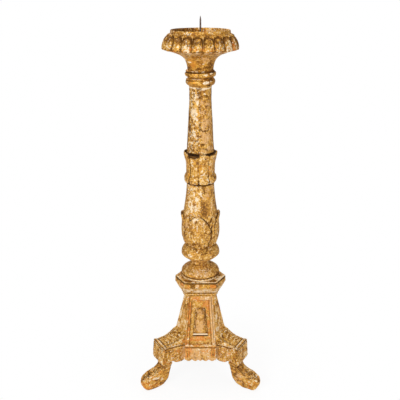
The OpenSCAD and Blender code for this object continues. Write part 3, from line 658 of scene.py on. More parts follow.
ring_upper = closed([[30.6, 0.2], *bead(31.4, 4, 1, 15), [30.3, 15.8]])
ring_lower = closed([[26.2, 0.2], [26.4, 2], *bead(27.6, 6, 3, 19), [30.2, 20.8]])


def worn_ring(seed, groove, dark, chip=None):
    def carve(g):
        h = g.dents(12, seed, 0.25)
        brown = 0.8 * g.noise(6, seed + 2, 2, 0.4)
        if chip is not None:
            h = h - 2.4 * patch(g.co, at(*chip[:3]), chip[3], 5, 0.3)
        # a dark line round the groove: painted shade in the gap between the parts
        line = hump(g.z - groove - 1.2 * np.sin(g.th + 0.5), 1.5)
        h = h - 0.36 * dark * line
        brown += dark * line * (0.8 + 0.5 * g.noise(9, seed + 3))
        return h * step(15, 24, g.r), 0, {"brown": brown}
    return carve


turned("ring_upper_body", ring_upper, RING_UPPER, worn_ring(20, 12.2, 9), 220, 0.6, MAT_NECK,
       "neck_ring_upper",
       cream=[(21, 35, 790, 5, 2.2, 7), (42, 35, 793, 5.4, 2.6, 6), (-20, 33, 797, 12, 1.5, 3),
              (9, 33, 797, 5, 2, 4)],
       brown=[(-49, 35, 787, 3.4, 4.4, 2.4), (-7, 35, 789, 1.8, 5, 2), (8, 35, 788, 1.2, 5, 2)],
       orange=[(-16, 35, 790, 7, 3, 1.6)])
turned("ring_lower_body", ring_lower, RING_LOWER, worn_ring(23, 14.6, 1.8, (46, 33, 766, (9, 9, 4))), 220,
       0.6, MAT_NECK, "neck_ring_lower",
       cream=[(24, 34, 773, 8, 3, 9), (44, 34, 776, 3, 3, 4), (-16, 33, 780, 14, 1.3, 2.4)],
       brown=[(42, 33, 766, 9, 3, 8), (50, 33, 779, 6, 4, 2)], orange=[(-36, 34, 773, 10, 3.5, 2)])

# ---------- shafts and collar ----------

upper = cubic([32.5, 0.6], [30.8, 12], [28.4, 68], [25.4, 119], 30)
upper = closed([[32.5, 0.2], *upper, [25.4, 150.6], [24.8, 150.9]])


def worn_shaft(g):
    height = g.z0 + g.z
    h = g.dents(14, 31, drawn=0.4)
    curl = np.hypot((g.deg - 22) * 0.48, height - 676)
    h = h - 0.8 * hump(curl - 13, 1.3) * step(680, 672, height)
    side = g.side
    # browner towards the sides: painted shade
    brown = 1.4 * within(side, 58, 82, 95, 120) + 0.5 * g.noise(5, 34, 2, 0.3)
    brown += 2.2 * hump(curl - 13, 2.0) * step(682, 670, height) * step(45, 38, g.deg)
    left = step(6, -8, g.deg + 8 * g.noise(14, 35, 2))
    tan = 0.7 * (1 - left) * step(75, 60, g.deg) * step(738, 728, height)
    brown += left * (0.9 + 1.7 * g.noise(6, 36, 2)) + (1 - left) * (0.2 + 0.8 * g.noise(7, 37, 2))
    cream = hump(g.z - 149, 1.5) * 3.0 + 0.4 * left - 0.3 * step(4, 16, g.deg)
    return h * step(CORE, 22, g.r), 0, {"brown": brown, "tan": tan, "cream": cream}


turned("upper_shaft_body", upper, UPPER_SHAFT, worn_shaft, 220, 0.8, MAT_SHAFT, "upper_shaft",
       cream=[(-30, 26, 742, 8, 12, 1.5), (-31, 27, 702, 8, 14, 2), (-20, 28, 690, 6, 5, 1.9),
              (-34, 30, 656, 7, 15, 1.4), (-18, 30, 640, 5, 7, 1.5), (22, 25, 758, 7, 1.8, 4),
              (24, 26, 747, 4, 2.4, 3), (-39, 31, 632, 5, 9, 1.3), (-13, 26, 728, 5, 5, 1.5),
              (-48, 26, 728, 4, 9, 1.3)],
       brown=[(-4, 25, 751, 6, 16, 1.4), (37, 26, 741, 6, 3.4, 1.8), (31, 27, 720, 7, 2.2, 2.6),
              (-62, 28, 691, 4, 5, 3.5), (-58, 29, 670, 5, 11, 3.5), (12, 31, 631, 6, 3, 2.8),
              (3, 26, 742, 1.8, 1.8, 2.5), (45, 29, 672, 4, 5, 1.6), (20, 30, 623, 8, 4, 1.6)],
       orange=[(-8, 27, 699, 3.4, 14, 2.6), (30, 28, 695, 5.3, 3.4, 1.6), (-11, 29, 671, 5, 7, 1.6),
               (-4, 31, 633, 4, 4, 2.2)], tan=[(24, 29, 678, 10, 14, 0.8), (22, 30, 647, 12, 16, 0.8)])

PETALS, PETAL_TURN = 9, -6
petal_level = rng.uniform(-1, 1, PETALS)
petal_high = rng.uniform(-1, 1, PETALS)
SEAM_DEPTH = np.array([0.3, 0.65, 0.9, 1, 0.8, 1, 1, 0.8, 1])

collar = [[CORE, 0.4], [36.4, 0.2]] + cubic([37, 0.6], [39.4, 5], [40.4, 14], [34, 20], 18)
collar += cubic([34, 20], [34, 30], [34, 34], [34, 37.5], 8)[1:]
collar += cubic([34, 38.5], [34, 51.5], [38.2, 59.5], [40, 70.5], 24)
collar += [[40, 71.8], [39.2, 74], [37.8, 74.7], [36.6, 73.8], [35.2, 69.4], [33.4, 68.2], [32.4, 70.4],
           [32.4, 74.8], [CORE, 74.8]]


def petals(g):
    along = (g.deg - PETAL_TURN) * PETALS / 360
    k = np.floor(along).astype(int) % PETALS
    q = (along - np.floor(along)) * 2 - 1
    lip = step(52, 70, g.z) * step(34.5, 37, g.r)
    foot = step(18, 4, g.z) * step(30, 36, g.r)
    side = np.abs(q)
    deep = SEAM_DEPTH[(k + (q > 0)) % PETALS]
    crease = hump(1 - side, 0.13) * (0.3 + 1.1 * deep) + 0.9 * side**3
    mid = 0.6 * hump(q, 0.2)
    h = -crease + mid * step(6, 20, g.z) + 0.5 * petal_level[k] * lip
    h = h + g.dents(11, 51, drawn=0.6, deep=0.5)
    cut_foot = 65.4 + 3.0 * step(-32, -6, g.deg) + 1.4 * g.noise(8, 55, 2)
    left_cut = step(-1.2, 1.2, g.z - cut_foot) * within(g.deg, -52, -42, -7, 0)
    right_cut = hump(g.z - 74.0, 1.3) * within(g.deg, 22, 30, 56, 66)
    h = h - 2.6 * left_cut
    up = -1.3 * lip * side**4 + (0.6 * petal_high[k] - 1.5 * step(75, 45, g.side)) * lip
    up += 2.0 * foot * side**4 + 0.5 * g.noise(7, 53, 2) * (lip + foot)
    inner = (g.r < 36.5) & (g.z > 60)
    fine = g.noise(6, 54, 2)
    seam_brown = deep * (0.7 + fine) + 1.5 * step(11, 5, g.z)
    # painted shade in the cut on the left and behind the lip on the right
    brown = 1.5 * hump(1 - side, 0.15) * seam_brown + 4.5 * left_cut + 5.5 * right_cut
    # painted shade in the gap between the shaft and the lip; dirt and painted shadow along the lowest edge
    gap = ((g.r < 37.2) & (g.z > 66) & (g.z < 74)) * (1 - 0.9 * within(g.deg, -10, -4, 18, 24))
    brown += 4.0 * step(1.6, 0.4, g.z) + 4.5 * gap
    # browner towards the sides: painted shade
    brown += 0.6 * step(50, 70, g.side)
    cream = 2.0 * hump(g.z - 3.4, 1.0) * (0.5 + fine)
    cream += 1.2 * hump(g.z - 73.6, 0.8) * (0.5 + fine) * (1 - left_cut)
    layers = {"brown": brown, "cream": cream}
    return np.where(inner, 0, h) * step(20, 33, g.r), np.where(inner | (g.r < 33), 0, up), layers


turned("collar_body", collar, COLLAR, petals, 360, 0.7, MAT_SHAFT, "waisted_collar",
       cream=[(-33, 36, 587, 4, 10, 1.6), (9, 36, 562, 5, 4, 2.4), (30, 38, 549, 3, 7, 2.6)],
       brown=[(-8, 39, 546, 3, 4, 3), (18, 37, 601, 3.4, 2.4, 2), (20, 35, 591, 3, 5, 1.6),
              (57, 38, 555, 9, 7, 1.2)],
       orange=[(-23, 36, 591, 5, 7, 2), (15, 37, 554, 5, 4, 2.6), (36, 35, 570, 6, 12, 1.6),
               (-50, 37, 556, 6, 8, 1.6), (-1, 35, 572, 6, 12, 1.4)],
       tan=[(45, 36, 583, 8, 19, 1), (24, 39, 606, 8, 5, 0.9)])

lower = closed([[40.8, 0.2], *cubic([40.8, 0.6], [39.5, 16], [35.4, 26], [32.4, 76.6], 26), [31.6, 76.9]])


def worn_lower(g):
    streaks = g.noise(4.5, 64, 2, 0.22)
    h = g.dents(12, 61, drawn=0.4)
    # brown at the top, under the collar: dirt and painted shadow; browner towards the sides: painted shade
    brown = 5.0 * step(72.4, 74.6, g.z) + 1.2 * step(55, 80, g.side) + 0.7 * streaks
    left = step(14, 2, g.deg + 8 * g.noise(14, 65, 2)) * step(-70, -50, g.deg)
    drips = step(0.2, 0.5, streaks) * step(44, 30, g.z) * step(6, -4, g.deg)
    cream = 1.1 * drips - 0.5 * step(4, 20, g.deg) + 0.5 * left
    tan = 0.8 * step(8, 24, g.deg) * step(40, 56, g.z)
    wobble = 7 * g.noise(11, 66, 2)
    bare = step(-1, 2, g.deg + wobble) * step(32, 28, g.deg + wobble) * step(36, 32, g.z + wobble)
    brown, cream = brown + bare, cream - 1.2 * bare
    return h * step(CORE, 22, g.r), 0, {"brown": brown, "cream": cream, "tan": tan}


turned("lower_shaft_body", lower, LOWER_SHAFT, worn_lower, 260, 0.8, MAT_SHAFT, "lower_shaft",
       cream=[(2, 34, 514, 3.5, 6, 3), (-15, 35, 501, 5, 5, 2.6), (-34, 38, 478, 3, 15, 2.4),
              (-15, 38, 477, 4, 13, 1.8), (-49, 37, 486, 3, 8, 1.8), (-25, 34, 514, 3, 3, 1.8)],
       brown=[(17, 33, 529, 4, 7, 1.8), (16, 34, 517, 4, 5, 1.6), (-52, 37, 493, 4, 5, 1.6)],
       orange=[(-40, 33, 530, 9, 4, 2.2), (22, 35, 502, 8, 5, 1.6), (44, 33, 527, 5, 5, 1.6),
               (-32, 40, 464, 6, 4, 2.4)], tan=[(26, 35, 502, 10, 13, 0.8), (45, 38, 481, 10, 20, 0.9)])

# ---------- leaf cup and knops ----------

CUP_ROUND = 44
cup = [[34, 0.2]] + cubic([34.5, 0.8], [38, 9], [42.4, 22], [42.4, 39.1], 24)
cup += cubic([42.4, 39.1], [42.2, 51], [41.8, 60], [41.6, 84.4], 26)[1:] + [[40.8, 84.8]]


def leaf_width(v, w):
    """Half width of a leaf at a share v of its height, with lobes that point up."""
    full = np.interp(v, [0, 0.1, 0.3, 0.55, 0.72, 0.85, 0.93, 1], [0.55, 0.8, 1, 0.98, 0.85, 0.62, 0.45, 0.2])
    tooth = (v * 4.2 + 0.25) % 1
    return w * full * (0.93 + 0.1 * tooth - 0.1 * step(0.86, 1, tooth))


def one_leaf(g, centre, w, h, thick, seed):
    """An acanthus leaf's relief over the ground, how much of it is there, its darker edge of dirt and painted
    shade, and its folds.
    """
    a = (g.deg - centre + 180) % 360 - 180
    x = np.radians(a) * CUP_ROUND
    v = np.clip(g.z / h, 0, 1.2)
    side = np.abs(x)
    ragged = 1.4 * g.noise(7, seed, 2)
    edge = leaf_width(np.clip(v, 0, 1), w) - side + ragged
    there = step(-0.6, 1.2, edge) * step(1.03, 0.99, g.z / h)
    rib = 0.9 * hump(x, 2.0) * step(1, 0.8, v) - 0.7 * hump(side - 4.2, 1.8) * step(0.9, 0.7, v)
    vein = (4.2 * v - 2.3 * side / w + 0.25 * g.noise(12, seed + 1)) % 1
    fold = (0.5 - np.abs(vein - 0.5)) * 2
    lobes = (1.2 * fold**0.8 - 0.7) * step(3, 9, side) * step(1.0, 0.85, v)
    round_off = -1.3 * step(5, 0, edge)
    curl = 3.3 * step(0.74, 0.95, v)
    swell = 1.2 * hump(v - 0.38, 0.3)
    low = step(0.3, 0.05, fold) * step(3, 9, side) * step(0.95, 0.8, v)
    return there * (thick + rib + lobes + round_off + curl + swell), there, hump(edge + 0.8, 1.7), low * there


def acanthus(g):
    h, brown = 0.35 * g.noise(9, 81, 3), np.zeros(len(g.co))
    small = [(47, 15, 80, 1.5, 71), (132, 15, 80, 1.5, 73), (-131, 15, 80, 1.5, 75), (-44, 15, 80, 1.5, 77)]
    large = [(92, 34, 84.5, 2.7, 85), (180, 34, 84.5, 2.7, 87), (-96, 33, 83, 2.7, 89), (-8, 34, 84, 2.9, 83)]
    for centre, w, tall, thick, seed in small + large:
        up, there, rim, low = one_leaf(g, centre, w, tall, thick, seed)
        h = h * (1 - there) + up
        # the leaves' edges darker, most on the right of the front: dirt and painted shade
        edge_dirt_and_shade = (0.6 + 1.8 * step(-12, 12, g.deg)) * rim * step(1.02, 0.98, g.z / tall)
        brown = brown * (1 - there) + edge_dirt_and_shade + 0.5 * low
    lip = np.abs((g.deg + 8 + 180) % 360 - 180)
    # a painted highlight on the front leaf's curled lip
    lip_highlight = hump(lip, 14) * hump(g.z - 81, 2.6)
    streaks = g.noise(4, 90, 2, 0.25)
    cream = 3.0 * lip_highlight * (0.8 + g.noise(5, 92, 2))
    cream += 1.5 * hump(g.deg + 10, 2.4) * within(g.z, 40, 55, 60, 72)
    cream += step(0.1, 0.5, streaks)
    notch = hump((g.deg + 400) % 23 - 11.5, 3.5) * step(9, 3, g.z) * (0.6 + g.noise(14, 86, 2))
    brown = brown * (0.75 + 0.8 * g.noise(10, 88, 2)) + 2.6 * notch - 2.0 * lip_highlight
    # browner towards the sides: painted shade
    brown += 0.8 * step(62, 84, g.side) + step(4, 1, g.z) + 1.1 * step(0.15, 0.5, -streaks)
    h = h + 0.35 * g.noise(7, 82, 3) + 0.15 * g.noise(3, 84, 2)
    limit = np.interp(g.z, [0, 20, 40, 60, 74, 79, 83, 85], [4.5, 4.6, 4.6, 5.2, 6.6, 7.2, 6.6, 5.0])
    h = np.minimum(h, limit) * step(30, 36, g.r) * step(84.9, 84.2, g.z)
    return h, 0, {"brown": brown, "cream": cream}


turned("leaf_cup_body", closed(cup), CUP, acanthus, 440, 0.7, MAT_LEAF, "leaf_cup",
       relief=0.7,
       cream=[(-19, 48, 451, 4, 2, 3), (-32, 46, 405, 3, 5, 1.6), (9, 47, 438, 4, 6, 1.4),
              (36, 43, 458, 7, 6, 1.4)],
       # the strong brown spots 22 to 37 degrees right of the front are painted shade in the gap beside the
       # front leaf
       brown=[(-6, 49, 456, 2.6, 1.6, 7), (22, 47, 447, 2.8, 4, 6), (30, 47, 438, 3.2, 5, 8),
              (36, 46, 429, 3.4, 4, 7.5), (37, 46, 420, 2.2, 9, 5), (88, 48, 455, 5, 5, 6),
              (-88, 48, 456, 5, 5, 4), (-10, 47, 446, 1.6, 7, 2), (-22, 42, 388, 6, 5, 2.4),
              (-4, 41, 383, 3, 5, 2.4), (-58, 46, 414, 3, 18, 1.8), (-41, 44, 459, 4, 5, 2),
              (28, 46, 440, 5, 11, 2), (35, 46, 420, 5, 8, 2.8), (37, 44, 398, 3, 13, 2),
              (53, 46, 447, 3, 20, 2.2), (12, 46, 418, 3, 4, 1.4), (-30, 46, 424, 4, 12, 1.2)],
       orange=[(-27, 43, 389, 4, 7, 3.2), (-16, 46, 427, 5, 6, 1.8), (-10, 46, 420, 5, 8, 1.6),
               (-47, 44, 462, 5, 5, 1.6), (-23, 43, 459, 5, 4, 2.4)],
       tan=[(-45, 46, 433, 9, 13, 0.9), (8, 46, 441, 6, 10, 0.8)])

torus = [[21.8, 0.2]] + cubic([21.8, 2.2], [24, 7], [47.2, 19.4], [47.2, 25.4], 26)
torus += cubic([47.2, 25.4], [47.2, 34.4], [43.2, 42], [35.2, 47.8], 22)[1:]


def worn_knob(seed, line=None):
    def carve(g):
        h = g.dents(13, seed, 0.25)
        # browner towards the sides and near the core, where the knops meet: painted shade
        brown = 0.9 * step(58, 84, g.side) + 0.9 * g.noise(6, seed + 2, 2) + 0.4 * step(27, 23, g.r)
        cream = np.zeros(len(h))
        if line:
            pale_z, pale_width, dark_z, dark_width = line
            cream = 4.5 * hump(g.z - pale_z, pale_width)
            brown += 3.0 * hump(g.z - dark_z, dark_width)
            h = h - 0.8 * hump(g.z - dark_z, dark_width)
        return h * step(15, 22, g.r), 0, {"brown": brown, "cream": cream}
    return carve


turned("torus_body", closed(torus), TORUS, worn_knob(91), 300, 0.8, MAT_LEAF, "torus_knop",
       cream=[(-32, 46, 357, 6, 4, 2.2), (-10, 44, 370, 5, 3, 1.4)],
       brown=[(-52, 44, 374, 8, 5, 1.8), (11, 45, 366, 9, 5, 2), (38, 44, 373, 4, 5, 2),
              (-20, 42, 371, 7, 3, 1.8), (2, 40, 373, 20, 1.5, 1.2)], orange=[(-33, 46, 365, 6, 4, 1.4)],
       tan=[(-1, 46, 355, 20, 5, 0.6)])

dome = [[45.4, 0.2]] + cubic([45.6, 0.3], [47.6, 0.9], [48.4, 2.5], [48.4, 4.6], 8)
dome += [[48.0, 6.2], [46.9, 7.0], [46.6, 7.6], [47.2, 8.4]]
dome += cubic([47.4, 9], [47.4, 21], [35, 22.3], [21.9, 33.8], 26) + [[21.8, 35.8]]

turned("dome_body", closed(dome), DOME, worn_knob(95, (2.4, 1.6, 7.4, 1.1)), 300, 0.7, MAT_LEAF, "dome_knop",
       cream=[(0, 41, 312, 34, 12, 0.35), (-1, 42, 306, 12, 3, 1), (-31, 37, 314, 6, 5, 1.2),
              (20, 38, 313, 6, 4, 1.2)],
       brown=[(-52, 38, 313, 9, 5, 0.8), (28, 35, 315, 6, 5, 1), (62, 46, 300, 10, 12, 1.6),
              (-20, 43, 307, 4, 4, 0.8)], orange=[(-35, 45, 302, 9, 4, 1.8)],
       tan=[(-12, 41, 310, 18, 9, 1.3), (22, 41, 309, 14, 8, 1.2)])

# ---------- three-sided pieces ----------


def fitted(name, me, deg, carve, seed, dents, *shown, **wear):
    """Adds a softened copy of a solid, carved in its own directions: outward, sideways and up."""
    co, n = coords(me), normals(me)
    h = dents * noise(co, 12, seed, 3) + 0.6 * dents * noise(co, 4, seed + 1, 2)
    more, layers = carve(turn(co, -deg), turn(n, -deg))
    set_coords(me, co + n * (h + more)[:, None])
    piece(name, me, *shown, layers, **wear)


def thrice(name, part, places, material, voxel, passes, carve, seed, dents=0.35, relief=1.0, slot=None,
           spots=None):
    """Adds a part at each of the three places, all from the first one's solid."""
    nodes = [place + "_" + part for place in places]
    first = places[next(iter(places))]
    base = cad_shell(nodes[0], voxel * (1), passes)
    co = coords(base)
    for k, (node, deg) in enumerate(zip(nodes, places.values())):
        me = base.copy()
        set_coords(me, turn(co, deg - first))
        own = (spots or {}).get(node, {})
        fitted(node + "_" + name, me, deg, carve, seed + 10 * k, dents, material, node, relief=relief,
               slot=slot, **own)


def facing(p):
    """How far each point lies out along the nearest of the three faces, and along the nearest corner."""
    faces = [turn(p, -120 * k) for k in range(3)]
    return np.max([f[:, 0] for f in faces], axis=0), np.max([-f[:, 0] for f in faces], axis=0)


def carved_cap(p, n):
    z = p[:, 2]
    top = step(0.5, 0.8, n[:, 2])
    ragged = noise(p, 9, 141, 2)
    groove = hump(z - 286.7, 1.6) * (1 - top)
    out_face, out_corner = facing(p)
    rim = top * np.maximum(step(45.5, 48.5, out_face), step(54, 57, out_corner))
    cream = top * (0.2 + 3.0 * ragged) + 2.6 * rim * (0.7 + noise(p, 7, 147, 2))
    corner = (1 - top) * step(1.0, 1.06, out_corner / np.maximum(out_face, 1))
    # a dark line in the groove under the top plate: painted shadow
    brown = 6.5 * groove * (0.85 + 0.5 * noise(p, 9, 148, 2)) + top * (1 - rim) * (0.7 - 2.4 * ragged)
    brown += corner * (0.9 + 1.8 * noise(p, 7, 149, 2)) + 1.6 * hump(z - 273.4, 1.2)
    band = (1 - top) * step(284.6, 283.4, z)
    x = p[:, 1] + 1.2 * noise(p, 6, 144)
    front = band * step(30, 34, p[:, 0])
    brown += 2.2 * front * within(x, -26, -24, -14, -12)
    pale = front * within(x, -14, -12, -4, -2)
    cream += 1.1 * pale
    orange = band * 0.1 + band * 1.6 * noise(p, 9, 143) + 5.0 * front * within(x, 23, 25, 36, 38)
    orange += 1.6 * front * step(-25, -27, x)
    h = 0.3 * ragged * top + (1 - top) * (0.8 * hump(z - 285.3, 0.8) - hump(z - 287.0, 0.9))
    return h, {"cream": cream, "brown": brown, "orange": orange, "tan": 1.6 * pale}


fitted("cap_body", cad_shell("pedestal_cap", 0.9, 3), FACES["front"], carved_cap, 101, 0.6, MAT_BASE,
       "pedestal_cap")


def carved_moulding(p, n):
    z = p[:, 2]
    ragged = 0.5 + noise(p, 8, 145, 2)
    hollow = 3.3 * within(z, 254, 257, 267, 271)
    cream = (hollow + 1.4 * hump(z - 257, 2.4) + 1.8 * hump(z - 247.4, 1.6)) * ragged
    brown = 1.2 * hump(z - 263, 1.4) + 2.8 * hump(z - 251.6, 1.4) + 2.0 * hump(z - 243.6, 1.2)
    return -0.5 * hump(z - 251.8, 1.0), {"cream": cream, "brown": brown, "orange": np.full(len(z), -0.8)}


fitted("moulding_body", cad_shell("cap_moulding", 0.8, 2), FACES["front"], carved_moulding, 104, 0.5,
       MAT_BASE, "cap_moulding")

# the plinth's corners lie this far from the axis, and their ends reach this far to each side
PLINTH_CORNER, PLINTH_HALF = 122.6, 28.2
corner_x = PLINTH_HALF / 2 - PLINTH_CORNER * math.sin(math.radians(60))
corner_y = -PLINTH_CORNER / 2 - PLINTH_HALF * math.cos(math.radians(30))
middle_x, middle_y = -40, -56
hollow_side = np.array(cubic([corner_x, corner_y, 0], [corner_x + 15, corner_y + 15.5, 0],
                             [middle_x - 20, middle_y - 7, 0], [middle_x, middle_y, 0], 20))
# heights of the foot and the top of a face board and of its tablet, and the half widths there
BOARD_ENDS, BOARD_HALVES = [PEDESTAL, MOULD], [39, 31]
TABLET_ENDS, TABLET_HALVES = [143, 209], [18.5, 11.5]


def from_edge(p, turned_by):
    """Distance in plan from the plinth's hollow side."""
    q = turn(hollow_side, -turned_by)[:, :2]
    flat = np.column_stack([p[:, 0], np.where(q[0, 1] > 0, 1, -1) * np.abs(p[:, 1])])
    best = np.full(len(p), 1e9)
    for a, b in zip(q, q[1:]):
        t = np.clip(((flat - a) @ (b - a)) / ((b - a) @ (b - a)), 0, 1)
        best = np.minimum(best, np.linalg.norm(flat - a - t[:, None] * (b - a), axis=1))
    return best


def carved_post(p, n):
    """Leaves carved on the flare at the post's foot, inside a double line."""
    out, side, z = p.T
    up = step(0.12, 0.45, n[:, 2])
    edge = from_edge(p, CORNERS["front_left"])
    flare = up * step(60, 68, out)
    field = flare * step(108.5, 106.5, out) * step(8.5, 10.5, edge) * step(31, 27, np.abs(side))
    wave = out * 0.62 + 1.5 * np.sin(np.abs(side) * 0.22) + 2.4 * noise(p, 13, 111)
    fingers = np.cos(wave)
    gate = step(-0.3, 0.15, noise(p, 12, 113, 2))
    q = np.column_stack([out * 0.8 + np.abs(side) * 0.5, side * 1.1 - 0.35 * out * np.sign(side), 0 * z])
    cuts = np.maximum(gate * step(-0.2, -0.85, fingers), 0.5 * hump(noise(q, 10.5, 115, 2), 0.1))
    lobes = gate * step(0.2, 0.8, fingers)
    line = hump(edge - 4.0, 0.9) + hump(edge - 7.6, 0.9)
    ends = hump(out - 112.2, 1.6)
    lines = up * np.maximum(line * step(62, 70, out), ends)
    h = field * (0.5 + 0.6 * lobes - 0.9 * cuts) - 1.2 * up * line * step(62, 70, out) - 0.6 * up * ends
    ridges = 2.4 * hump(out - 115.8, 2.0) + 1.2 * hump(edge - 5.8, 1.2) * step(112, 108, out)
    cream = field * (2.3 * lobes - 0.9 * cuts) + up * (ridges + hump(edge - 1.6, 1.4))
    tan = flare * (1 - field) * 1.6 * step(9, 12, edge) * step(106, 102, out)
    # brown in the cuts: grime and painted shade
    brown = field * (1.3 * cuts - 0.1) + 2.4 * lines + 1.5 * hump(z - 120.6, 0.8)
    brown += 2.6 * step(120.4, 121.6, out)
    strips = (1 - up) * noise(p * [1, 1, 0.35], 5.5, 119, 2)
    yellow = (1 - up) * 1.6 * noise(p * [1, 1, 0.3], 8, 121, 2)
    cream, brown = cream + 2.4 * strips, brown - 3.0 * strips
    return h, {"cream": cream, "brown": brown, "orange": yellow - 0.8 * field, "tan": tan}


thrice("carved", "post", CORNERS, MAT_BASE, 0.9, 2, carved_post, 120, relief=0.7)


def carved_board(p, n):
    """The strips' beaded edges, the worn clay of the sunk field and a painted shadow under the tablet."""
    side, z = p.T[1:]
    half = np.interp(z, BOARD_ENDS, BOARD_HALVES)
    x = np.abs(side)
    inside = step(half - 8.6, half - 10.2, x) * within(z, 122, 124, 229.5, 231)
    groove = hump(x - half + 4.2, 0.9) * step(128, 134, z)
    edge = hump(x - half + 9.6, 1.3) * step(231, 229, z)
    top_line = hump(z - 229.5, 1.2) * step(half - 8, half - 10, x)
    blotch = noise(p, 9, 151, 2)
    beside = np.interp(z, TABLET_ENDS, TABLET_HALVES)
    head = step(206, 216, z) * (1.0 + 2.6 * step(-8, 4, side))
    below = 3.6 * within(z, 124, 130, 136, 141)
    beside = 3.0 * step(beside, beside + 2, side) * step(140, 146, z)
    clay = inside * (head + below + beside - 1.8 + 5.0 * blotch)
    strips = noise(p * [1, 1, 0.3], 5, 153, 2)
    right = step(-4, 4, side)
    cream = (1 - inside) * (0.2 + 2.6 * strips + 0.6 * right)
    cream += 0.8 * hump(z - 122.2, 0.9) * (0.6 + noise(p, 8, 157, 2))
    # a painted shadow on the field under the tablet's ledge
    under = 8.0 * hump(z - 139.6, 1.5) * step(20.5, 19, x)
    brown = 1.3 * groove + 0.9 * edge + 1.4 * top_line - 0.8 * inside
    brown = brown - (1 - inside) * (2.4 * strips + 0.5 * right) + under
    clay = clay + (1 - inside) * (1.6 - 2.8 * right + 2.0 * blotch)
    wooden = inside * 0.6 * step(0.1, -0.5, blotch) + (1 - inside) * 1.8 * right
    return -0.9 * groove, {"cream": cream, "brown": brown, "orange": clay, "tan": wooden}


thrice("board", "panel", FACES, MAT_PANEL, 0.8, 2, carved_board, 150, 0.35, slot="gilt_base")


def carved_tablet(p, n):
    """A beaded frame round a plain middle, with a painted highlight on the ledge at its foot and painted
    shade along the frame.
    """
    side, z = p.T[1:]
    half = np.interp(z, TABLET_ENDS, TABLET_HALVES)
    x = np.abs(side)
    front = step(0.4, 0.8, n[:, 0])
    rim = np.maximum(step(half - 3.6, half - 2.6, x), np.maximum(step(147.5, 146, z), step(205, 206.5, z)))
    beads = 0.35 * np.cos(z * math.pi / 1.9) * front * rim * step(149, 151, z)
    inner = hump(x - half + 4.4, 1.0) * within(z, 145, 148, 205, 208)
    ledge = step(147, 145.5, z)
    foot = ledge * step(143.6, 144.4, z)
    ragged = noise(p * [1, 1, 0.5], 7, 183, 2)
    # a painted highlight on the ledge at the foot
    cream = 7.0 * foot + (1 - rim) * (1.2 * ragged - 0.1) + rim * (1 - ledge) * (0.2 + 2.0 * ragged)
    # painted shade inside the side bars and on the tablet's side faces
    outline = (1 - front) * step(146, 149, z)
    brown = 1.6 * inner * step(206, 198, z) + 0.4 * hump(z - 149, 1.2) * front
    brown += 1.5 * rim * (1 - ledge) * (1 - 1.2 * ragged) - 3.0 * foot
    brown += 2.4 * outline * step(209, 203, z) + (1 - rim) * (0.2 + 1.2 * noise(p * [1, 1, 0.6], 6, 185, 2))
    fill = 1.9 * front * step(half - 2.4, half - 4.4, x) * within(z, 198, 204.5, 205.5, 207)
    layers = {"cream": cream, "brown": brown, "orange": -0.6 + 1.5 * ragged * (1 - rim), "tan": 1 - rim}
    return beads + 1.2 * ledge * front + fill, layers


thrice("raised", "tablet", FACES, MAT_PANEL, 0.6, 2, carved_tablet, 180, 0.25, slot="gilt_tablet")


def carved_apron(p, n):
    """Reeds at the ends of the middle, shells along its foot and scrolls on the hollow sides."""
    side, z = p.T[1:]
    face = step(0.3, 0.7, n[:, 0]) * step(116, 113, z)
    x = np.abs(side + 1.5 * noise(p, 12, 211))
    reeds = within(x, 25.5, 27, 37, 38.5) * step(84, 88, z)
    bars = reeds * np.cos((x - 29.5) * 2 * math.pi / 6.4)
    shells, rims = np.zeros(len(p)), np.zeros(len(p))
    for c, r in ((0, 6), (13, 8.2), (30, 8.2)):
        d = np.hypot(x - c, (z - 84) * 0.9)
        shells = np.maximum(shells, 1.3 * step(r + 0.5, r - 2, d))
        rims = np.maximum(rims, hump(d - r * 0.5, 1.5))
    bow = np.hypot((x - 66) * 0.8, (z - 88) * 1.1) + 2.5 * noise(p, 12, 213)
    scroll = np.cos(bow * 0.55) * step(44, 48, x) * step(27, 20, bow)
    h = face * (0.35 * bars + 0.6 * shells - 0.3 * rims + 0.25 * scroll)
    lip = hump(z - 115.4, 1.3) * step(0.2, 0.6, n[:, 0])
    streaks = noise(p * [1, 1, 0.4], 6, 215, 2)
    blotch = noise(p * [1, 1, 0.7], 11, 219, 3)
    hollow = step(42, 47, x)
    crease = hump(x - 42, 2.0)
    orange = reeds * (0.4 + 4.0 * step(-0.2, 0.4, bars))
    orange += face * (streaks + 2.4 * blotch - 0.5 + 0.7 * hollow)
    orange += 0.6 * step(95, 108, z) * step(34, 24, x)
    brown = 0.3 * step(0.2, -0.8, bars) * reeds + 0.3 * rims - 0.7 * streaks - (1.3 + 0.6 * hollow) * blotch
    # a painted shadow under the lip
    brown = face * (brown - 0.4 + 0.4 * hollow) + 4.0 * lip - 1.2 * face * crease
    # painted shade on the faces that look down
    brown += 0.8 * step(0.2, -0.5, n[:, 2])
    worn_edge = (1.8 + 2.0 * hollow) * step(118.2, 119.2, z) * (0.7 + noise(p, 7, 217, 2))
    cream = 0.7 * hump(x - 40.5, 1.6) + 0.4 + 0.5 * step(0, 0.8, scroll) - 0.6 * reeds + 1.4 * streaks
    tan = face * (1.4 * (1 - reeds) * (1 - 0.6 * hollow) + crease)
    return h - 0.8 * lip, {"cream": worn_edge + face * cream, "brown": brown, "orange": orange, "tan": tan}


thrice("carved", "apron", FACES, MAT_PANEL, 0.9, 7, carved_apron, 210, relief=0.7, slot="gilt_base")


